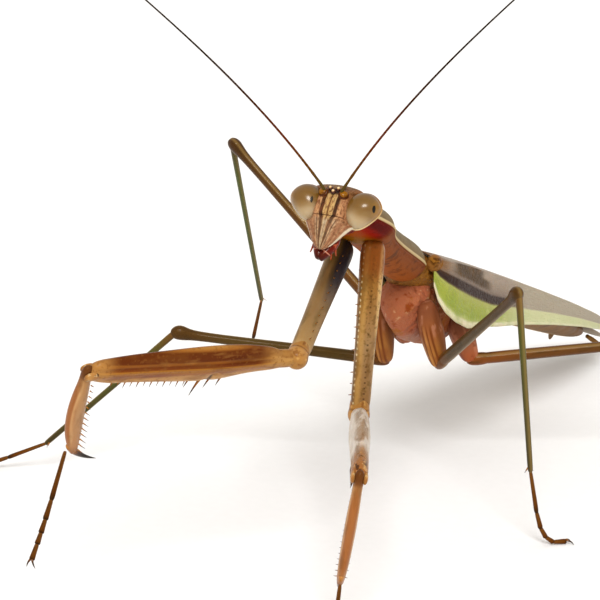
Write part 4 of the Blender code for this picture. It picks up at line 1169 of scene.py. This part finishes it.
# patterns that are copied: one spine, one tarsus joint and one claw
spine = growTube("spinePattern", (
    (-0.08, 0.13), (0.0, 0.12), (0.25, 0.095), (0.5, 0.07), (0.75, 0.045), (1.0, 0.012),
), 6, 1)
shape(spine, lambda point: Vector((point.x, point.y - 0.12 * point.z ** 2, point.z)))
keepSpot(spine)
tarsusJoint = growTube("tarsusPattern", (
    (0.0, 0.62), (0.06, 0.78, 0.8), (0.5, 0.86), (0.8, 0.98, 0.95), (0.93, 1.05, 1.0, -0.06),
    (1.0, 0.7, 0.7, -0.05),
), 10, 2)
keepSpot(tarsusJoint)
footClaw = growTube("clawPattern", (
    (0.0, 0.12, 0.13), (0.25, 0.11, 0.12), (0.6, 0.075, 0.08), (0.9, 0.04, 0.045), (1.05, 0.01),
), 8, 2)
keepSpot(footClaw, lambda point: point * 1.6)
curl(footClaw, 0.85)


def spineRow(name, count, rootOf, leanOf, sizeOf):
    places = []
    for number in range(count):
        share = number / (count - 1)
        length, thickness = sizeOf(number, share)
        lean = leanOf(share, number).normalized()
        places.append(standing(rootOf(share, number), lean, length, thickness))
    return copied(spine, name, places)


def legFrame(first, second):
    return squareTo(first, -second), squareTo(second, first)


def makeFoot(name, points, node):
    joints = []
    for number, (start, end) in enumerate(zip(points, points[1:])):
        step = end - start
        size = legs["tarsusRadius"] * (0.9 if number == 0 else 1.0)
        joints.append(standing(start, step, step.length * 1.02, size))
    foot = copied(tarsusJoint, name, joints)
    placeAsMade(foot)
    finish(foot, "tarsus", tarsusMaterial, node)
    ahead = (points[-1] - points[-2]).normalized()
    side = ahead.cross(Vector((0.0, 0.0, 1.0))).normalized()
    rise = side.cross(ahead)
    for number, sign in enumerate((1.0, -1.0)):
        lean = (ahead + side * sign * legs["clawSpread"] + rise * legs["clawLift"]).normalized()
        hook = copied(footClaw, f"{name}_claw{number}", [Matrix.Identity(4)])
        root = points[-1] - ahead * legs["clawBack"] + Vector((0.0, 0.0, legs["clawRise"]))
        settle(hook, (root, lean, squareTo(lean, rise)), "tarsus", clawMaterial)


def footPoints(ankle, heading, length):
    # five joints that come down from the ankle and lie flat at the end
    shares, eases = legs["tarsusShares"], legs["tarsusEases"]
    shallow, steep = 0.0, 88.0
    for _ in range(40):
        pitch = (shallow + steep) * 0.5
        drop = sum(length * s * math.sin(math.radians(pitch * e)) for s, e in zip(shares, eases))
        shallow, steep = (pitch, steep) if drop < ankle.z - legs["tarsusHeight"] else (shallow, pitch)
    points = [ankle]
    for share, ease in zip(shares, eases):
        points.append(points[-1] + aimOf(heading, -pitch * ease) * length * share)
    points[-1].z = points[-2].z = legs["tarsusHeight"]
    return points


def liftedPoints(ankle, heading, pitch, length):
    points = [ankle]
    for number, share in enumerate(legs["tarsusShares"]):
        points.append(points[-1] + aimOf(heading - 3.0 * number, pitch - 2.0 * number) * length * share)
    return points


def scaled(length, rows):
    return [(share * length, *sizes) for share, *sizes in rows]


foreCoxaRows = (
    (-0.117, 0.7, 0.8), (-0.08, 1.1, 1.25), (0.0, 1.2, 1.35), (0.2, 1.1, 1.28),
    (0.4, 1.02, 1.18), (0.6, 0.95, 1.08), (0.8, 0.91, 1.02), (0.9, 0.94, 1.04),
    (0.97, 0.85, 0.9), (1.0, 0.6),
)
foreFemurRows = (
    (-0.02, 0.5, 0.5, 0.0), (0.01, 0.72, 0.78, 0.0), (0.06, 0.78, 0.9, 0.0), (0.09, 0.74, 0.86, 0.03),
    (0.11, 0.8, 1.05, 0.08), (0.16, 0.86, 1.4, 0.2), (0.28, 0.95, 1.75, 0.3), (0.4, 1.0, 1.9, 0.22),
    (0.5, 0.97, 1.87, 0.22), (0.65, 0.86, 1.66, 0.25), (0.8, 0.78, 1.46, 0.25), (0.9, 0.77, 1.28, 0.16),
    (0.95, 0.77, 1.15, 0.08), (0.985, 0.6, 0.9, 0.0), (1.0, 0.35, 0.4, 0.0),
)
foreTibiaRows = (
    (-0.07, 0.25, 0.3), (-0.03, 0.44, 0.52, 0.05), (0.03, 0.46, 0.56, 0.08), (0.1, 0.42, 0.54, 0.14),
    (0.25, 0.5, 0.72, 0.28), (0.45, 0.53, 0.84, 0.37), (0.65, 0.5, 0.83, 0.33), (0.8, 0.46, 0.7, 0.2),
    (0.92, 0.38, 0.5), (1.0, 0.28, 0.34, -0.12),
)
walkingCoxaRows = (
    (-0.1, 0.7, 0.8), (0.02, 1.1, 1.25), (0.3, 1.28, 1.42), (0.5, 1.28, 1.42),
    (0.8, 1.05, 1.15), (0.95, 0.88, 0.93), (1.02, 0.6),
)


def femurForm(point):
    # pressed flat on its sides, with a sharp back, a keel between the spines and the claw's groove
    length = legs["foreFemur"]
    share = point.z / length
    halfWidth, halfHeight, lift = rowAt(foreFemurRows, share)
    up = (point.y - lift) / halfHeight
    blade = smooth(0.1, 0.2, share) * smooth(0.99, 0.9, share)
    point.x *= 1.0 - 0.3 * blade * abs(up) ** 3
    keel = smooth(0.22, 0.4, share) * smooth(0.98, 0.88, share) * smooth(-0.1, -0.7, up)
    point.y -= 0.3 * keel
    hollow = 0.12 * blade * bump(-0.45, 0.25, up) + 0.07 * blade * bump(0.35, 0.16, up)
    point.x -= math.copysign(min(hollow, abs(point.x)), point.x)
    claw = 0.16 * bump(0.42, 0.018, share + 0.05 * (up + 0.6)) * smooth(-0.1, -0.4, up)
    point.x -= math.copysign(min(claw, abs(point.x) * 0.6), point.x)
    return point


def foreCoxaForm(point):
    # three-sided, with a ridge along each corner
    turn = math.atan2(point.y / 1.3, point.x / 1.1)
    swell = 1.0 + 0.07 * math.cos(3.0 * turn + 0.6)
    return Vector((point.x * swell, point.y * swell, point.z))


def walkingCoxaForm(point):
    swell = 1.0 + 0.06 * math.cos(4.0 * math.atan2(point.y, point.x))
    return Vector((point.x * swell, point.y, point.z))


def foreTibiaForm(point):
    # narrower towards the spines
    point.x *= 1.0 - 0.25 * smooth(0.0, -0.5, point.y)
    return point


def foreLeg(sideName, sign, pose):
    ahead, outwards, left, up = legs["foreRoot"]
    start = prothoraxFront + prothoraxAim * ahead + prothoraxUp * up
    start += prothoraxLeft * (sign * outwards + left)
    coxaAim, femurAim, tibiaAim = aimOf(*pose["coxa"]), aimOf(*pose["femur"]), aimOf(*pose["tibia"])
    coxaRise = squareTo(coxaAim, prothoraxAim)
    femurRise, tibiaRise = legFrame(femurAim, tibiaAim)
    hip = start + coxaAim * legs["foreCoxa"]
    knee = hip + femurAim * legs["foreFemur"]
    tip = knee + tibiaAim * legs["foreTibia"]
    ahead, up = legs["foreAnkle"]
    ankle = tip + tibiaAim * ahead + tibiaRise * up
    side = sideName.capitalize()

    coxa = growTube("foreCoxa_" + sideName, scaled(legs["foreCoxa"], foreCoxaRows), 20, 2)
    shape(coxa, foreCoxaForm)
    settle(coxa, (start, coxaAim, coxaRise), "coxa", legMaterials["foreCoxa" + side], "fore_coxa_" + sideName)
    edge = spineRow(
        "foreCoxaSpines_" + sideName, legs["coxaSpines"],
        lambda share, number: Vector((-sign * 0.75, 0.9 - 0.2 * share, 1.2 + share * 11.5)),
        lambda share, number: Vector((-sign * 0.8, 0.9, 0.3)),
        lambda number, share: (0.22 + 0.1 * (number % 2), 0.6))
    settle(edge, (start, coxaAim, coxaRise), "coxa", spineMaterial)

    knob = growTube("foreTrochanter_" + sideName, (
        (-2.2, 0.6, 0.66), (-1.6, 0.8, 0.88), (-0.95, 0.95, 1.04), (-0.45, 0.94, 1.0),
        (0.0, 1.08, 1.14), (0.5, 0.98, 1.02), (0.95, 0.6, 0.62),
    ), 20, 2)
    settle(knob, (hip, coxaAim, coxaRise), "femur", legMaterials["foreTrochanter"])

    femur = growTube("foreFemur_" + sideName, scaled(legs["foreFemur"], foreFemurRows), 24, 2)
    refine(femur, "SUBSURF", levels=1, render_levels=1)
    shape(femur, femurForm)
    femurMaterial = legMaterials["foreFemur" + side]
    settle(femur, (hip, femurAim, femurRise), "femur", femurMaterial, "fore_femur_" + sideName)

    # four great spines, then two rows of small ones, long and short by turns
    length = legs["foreFemur"]
    spines = [copied(spine, "great", [
        standing(Vector((x, -1.45, share * length)), Vector((x * 0.4, -1.0, 0.42)).normalized(), tall, thick)
        for share, x, tall, thick in legs["greatSpines"]
    ])]

    def onKeel(share):
        along = 0.53 + 0.35 * share
        halfHeight, lift = rowAt(foreFemurRows, along)[1:]
        return lift - halfHeight * 0.9, along * length

    for row, count, tall, short in legs["keelSpines"]:
        spines.append(spineRow(
            "row", count,
            lambda share, number: Vector((row, *onKeel(share))),
            lambda share, number: Vector((row * 0.5, -1.0, 0.35)),
            lambda number, share: (tall, 0.8) if number % 2 else (short, 0.6)))
    spines = joined("foreFemurSpines_" + sideName, spines)
    settle(spines, (hip, femurAim, femurRise), "femur", spineMaterial)

    for outward in (-1.0, 1.0):
        # the lobes of the knee, either side of the tibia's hinge
        lobe = growTube("kneeLobe_" + sideName, (
            (-1.0, 0.14, 0.3), (-0.5, 0.22, 0.5), (-0.05, 0.24, 0.52, -0.04), (0.28, 0.2, 0.4, -0.1),
            (0.46, 0.1, 0.2, -0.12)), 14, 2)
        hinge = knee + femurRise.cross(femurAim) * (0.54 * outward)
        settle(lobe, (hinge, femurAim, femurRise), "femur", legMaterials["kneeLobe"])

    tibia = growTube("foreTibia_" + sideName, scaled(legs["foreTibia"], foreTibiaRows), 20, 2)
    shape(tibia, foreTibiaForm)
    settle(tibia, (knee, tibiaAim, tibiaRise), "tibia", legMaterials["foreTibia"], "fore_tibia_" + sideName)
    rows = []
    for row, count in legs["tibiaSpines"]:
        rows.append(spineRow(
            "row", count,
            lambda share, number: Vector((row, -0.42, (0.14 + 0.8 * share) * legs["foreTibia"])),
            lambda share, number: Vector((row * 2.6, -1.0, 0.75)),
            lambda number, share: (0.3 + 0.42 * share, 0.62)))
    spines = joined("foreTibiaSpines_" + sideName, rows)
    settle(spines, (knee, tibiaAim, tibiaRise), "tibia", spineMaterial)

    claw = growTube("foreClaw_" + sideName, (
        (-0.9, 0.26, 0.3), (-0.2, 0.32, 0.38), (0.5, 0.28, 0.34), (1.2, 0.2, 0.25),
        (2.0, 0.13, 0.16), (2.7, 0.06, 0.07), (3.05, 0.012)), 14, 2)
    keepSpot(claw)
    curl(claw, legs["foreClawBend"])
    turn = math.radians(legs["foreClawTurn"])
    clawAim = tibiaAim * math.cos(turn) - tibiaRise * math.sin(turn)
    where = tip - tibiaAim * 0.45, clawAim, squareTo(clawAim, tibiaRise)
    settle(claw, where, "tibia", clawMaterial)

    if len(pose["tarsus"]) == 1:
        points = footPoints(ankle, pose["tarsus"][0], legs["foreTarsus"])
    else:
        points = liftedPoints(ankle, *pose["tarsus"], legs["foreTarsus"])
    makeFoot("foreTarsus_" + sideName, points, "fore_tarsus_" + sideName)


def walkingLeg(pair, sideName, pose, start, hip):
    femurLength, tibiaLength, tarsusLength = legs[pair]
    base, kneeSize, top, end = legs[pair + "Sizes"]
    coxaAim = (hip - start).normalized()
    femurAim, tibiaAim = aimOf(*pose["femur"]), aimOf(*pose["tibia"])
    femurRise, tibiaRise = legFrame(femurAim, tibiaAim)
    knee = hip + femurAim * femurLength
    ankle = knee + tibiaAim * tibiaLength

    coxa = growTube(pair + "Coxa_" + sideName, scaled((hip - start).length, walkingCoxaRows), 20, 2)
    shape(coxa, walkingCoxaForm)
    where = start, coxaAim, squareTo(coxaAim, tailward)
    settle(coxa, where, "coxa", legMaterials[pair + "Coxa"], f"{pair}_coxa_{sideName}")

    femur = growTube(pair + "Femur_" + sideName, (
        (-0.5, base * 0.6), (0.0, base * 1.05, base * 1.1),
        (1.3, base * 1.05, base * 1.1), (1.6, base * 0.85, base * 0.92), (1.95, base * 0.98, base * 1.05),
        (femurLength * 0.5, kneeSize * 0.98, kneeSize * 1.1),
        (femurLength * 0.9, kneeSize * 0.8, kneeSize * 0.92),
        (femurLength - 1.3, kneeSize * 1.1, kneeSize * 1.35, 0.08),
        (femurLength - 0.6, kneeSize * 1.3, kneeSize * 1.65, 0.16),
        (femurLength, kneeSize * 1.15, kneeSize * 1.4, 0.12),
        (femurLength + 0.4, kneeSize * 0.6, kneeSize * 0.7, 0.05),
    ), 14, 2)
    where = hip, femurAim, femurRise
    settle(femur, where, "femur", legMaterials[pair + "Femur"], f"{pair}_femur_{sideName}")

    tibia = growTube(pair + "Tibia_" + sideName, (
        (-0.35, top * 0.6), (0.0, top * 1.02, top * 1.05), (0.9, top * 0.98, top),
        (tibiaLength * 0.5, (top + end) * 0.47, (top + end) * 0.47),
        (tibiaLength - 0.8, end, end * 1.05), (tibiaLength, end * 0.95, end),
        (tibiaLength + 0.15, end * 0.5)), 12, 2)
    where = knee, tibiaAim, tibiaRise
    settle(tibia, where, "tibia", legMaterials[pair + "Tibia"], f"{pair}_tibia_{sideName}")

    def besides(number):
        return 1.0 if number % 2 else -1.0

    spurs = spineRow(
        pair + "TibiaSpurs_" + sideName, 4,
        lambda share, number: Vector((0.2 * besides(number), -0.1 - 0.1 * (number // 2), tibiaLength - 0.3)),
        lambda share, number: Vector((0.45 * besides(number), -0.3, 1.0)),
        lambda number, share: (0.6, 0.45))
    settle(spurs, where, "tibia", spineMaterial)
    points = footPoints(ankle, pose["tarsus"], tarsusLength)
    makeFoot(pair + "Tarsus_" + sideName, points, f"{pair}_tarsus_{sideName}")


for sideName, sign in bothSides:
    foreLeg(sideName, sign, poses["fore_" + sideName])
    for pair, start in (("mid", onTrunk(0.9, sign * 2.6, -3.6)), ("hind", onTrunk(9.6, sign * 2.3, -3.8))):
        leg = pair + "_" + sideName
        walkingLeg(pair, sideName, poses[leg], start, waist + Vector(hips[leg]))
for pattern in (spine, tarsusJoint, footClaw):
    bpy.data.objects.remove(pattern)
print("legs made")

# floor, light and camera
studio = {
    "floorSize": 3.0, "paperTone": (0.9, 0.94), "fibres": 900.0,  # to the metre
    "world": 0.76, "worldTint": "fffaf4", "sun": 2.4, "sunAngle": 22.0, "sunFrom": (0.37, -0.72, 0.72),
    "camera": (95.8, -206.0, 80.0), "lens": 139.8,
    "lookRight": (0.8829, 0.4688, 0.025), "lookUp": (-0.1425, 0.2169, 0.9657),
}
bpy.ops.mesh.primitive_plane_add(size=studio["floorSize"])
floor = named("floor")
# matt white paper: no gloss, and only a trace of fibre
paper = bpy.data.materials.new("whitePaper")
paper.use_nodes = True
tree = paper.node_tree
shader = tree.nodes["Principled BSDF"]
where = addNode(tree, "TexCoord").outputs["Object"]
fibre = addNode(tree, "TexNoise", {"Scale": studio["fibres"], "Detail": 2.0}, {"Vector": where})
darkest, palest = studio["paperTone"]
tone = addNode(tree, "MapRange", {3: darkest, 4: palest}, {0: fibre.outputs[0]})
tree.links.new(tone.outputs[0], shader.inputs["Base Color"])
shader.inputs["Roughness"].default_value = 0.9
floor.data.materials.append(paper)

world = bpy.data.worlds.new("softStudio")
bpy.context.scene.world = world
world.use_nodes = True
sky = world.node_tree.nodes["Background"]
sky.inputs["Color"].default_value = linear(studio["worldTint"])
sky.inputs["Strength"].default_value = studio["world"]

bpy.ops.object.light_add(type="SUN")
softbox = bpy.context.object
softbox.name = "softbox"
softbox.data.energy = studio["sun"]
softbox.data.angle = math.radians(studio["sunAngle"])
softbox.rotation_euler = Vector(studio["sunFrom"]).to_track_quat("Z", "Y").to_euler()

right, up = Vector(studio["lookRight"]), Vector(studio["lookUp"])
turn = Matrix((right, up, right.cross(up))).transposed().to_4x4()
bpy.ops.object.camera_add()
camera = bpy.context.object
camera.matrix_world = Matrix.Translation(toFrame(Vector(studio["camera"]))) @ turn
camera.data.lens = studio["lens"]
camera.data.sensor_width = 36.0
camera.data.clip_start = 0.01
bpy.context.scene.camera = camera
print("studio ready")
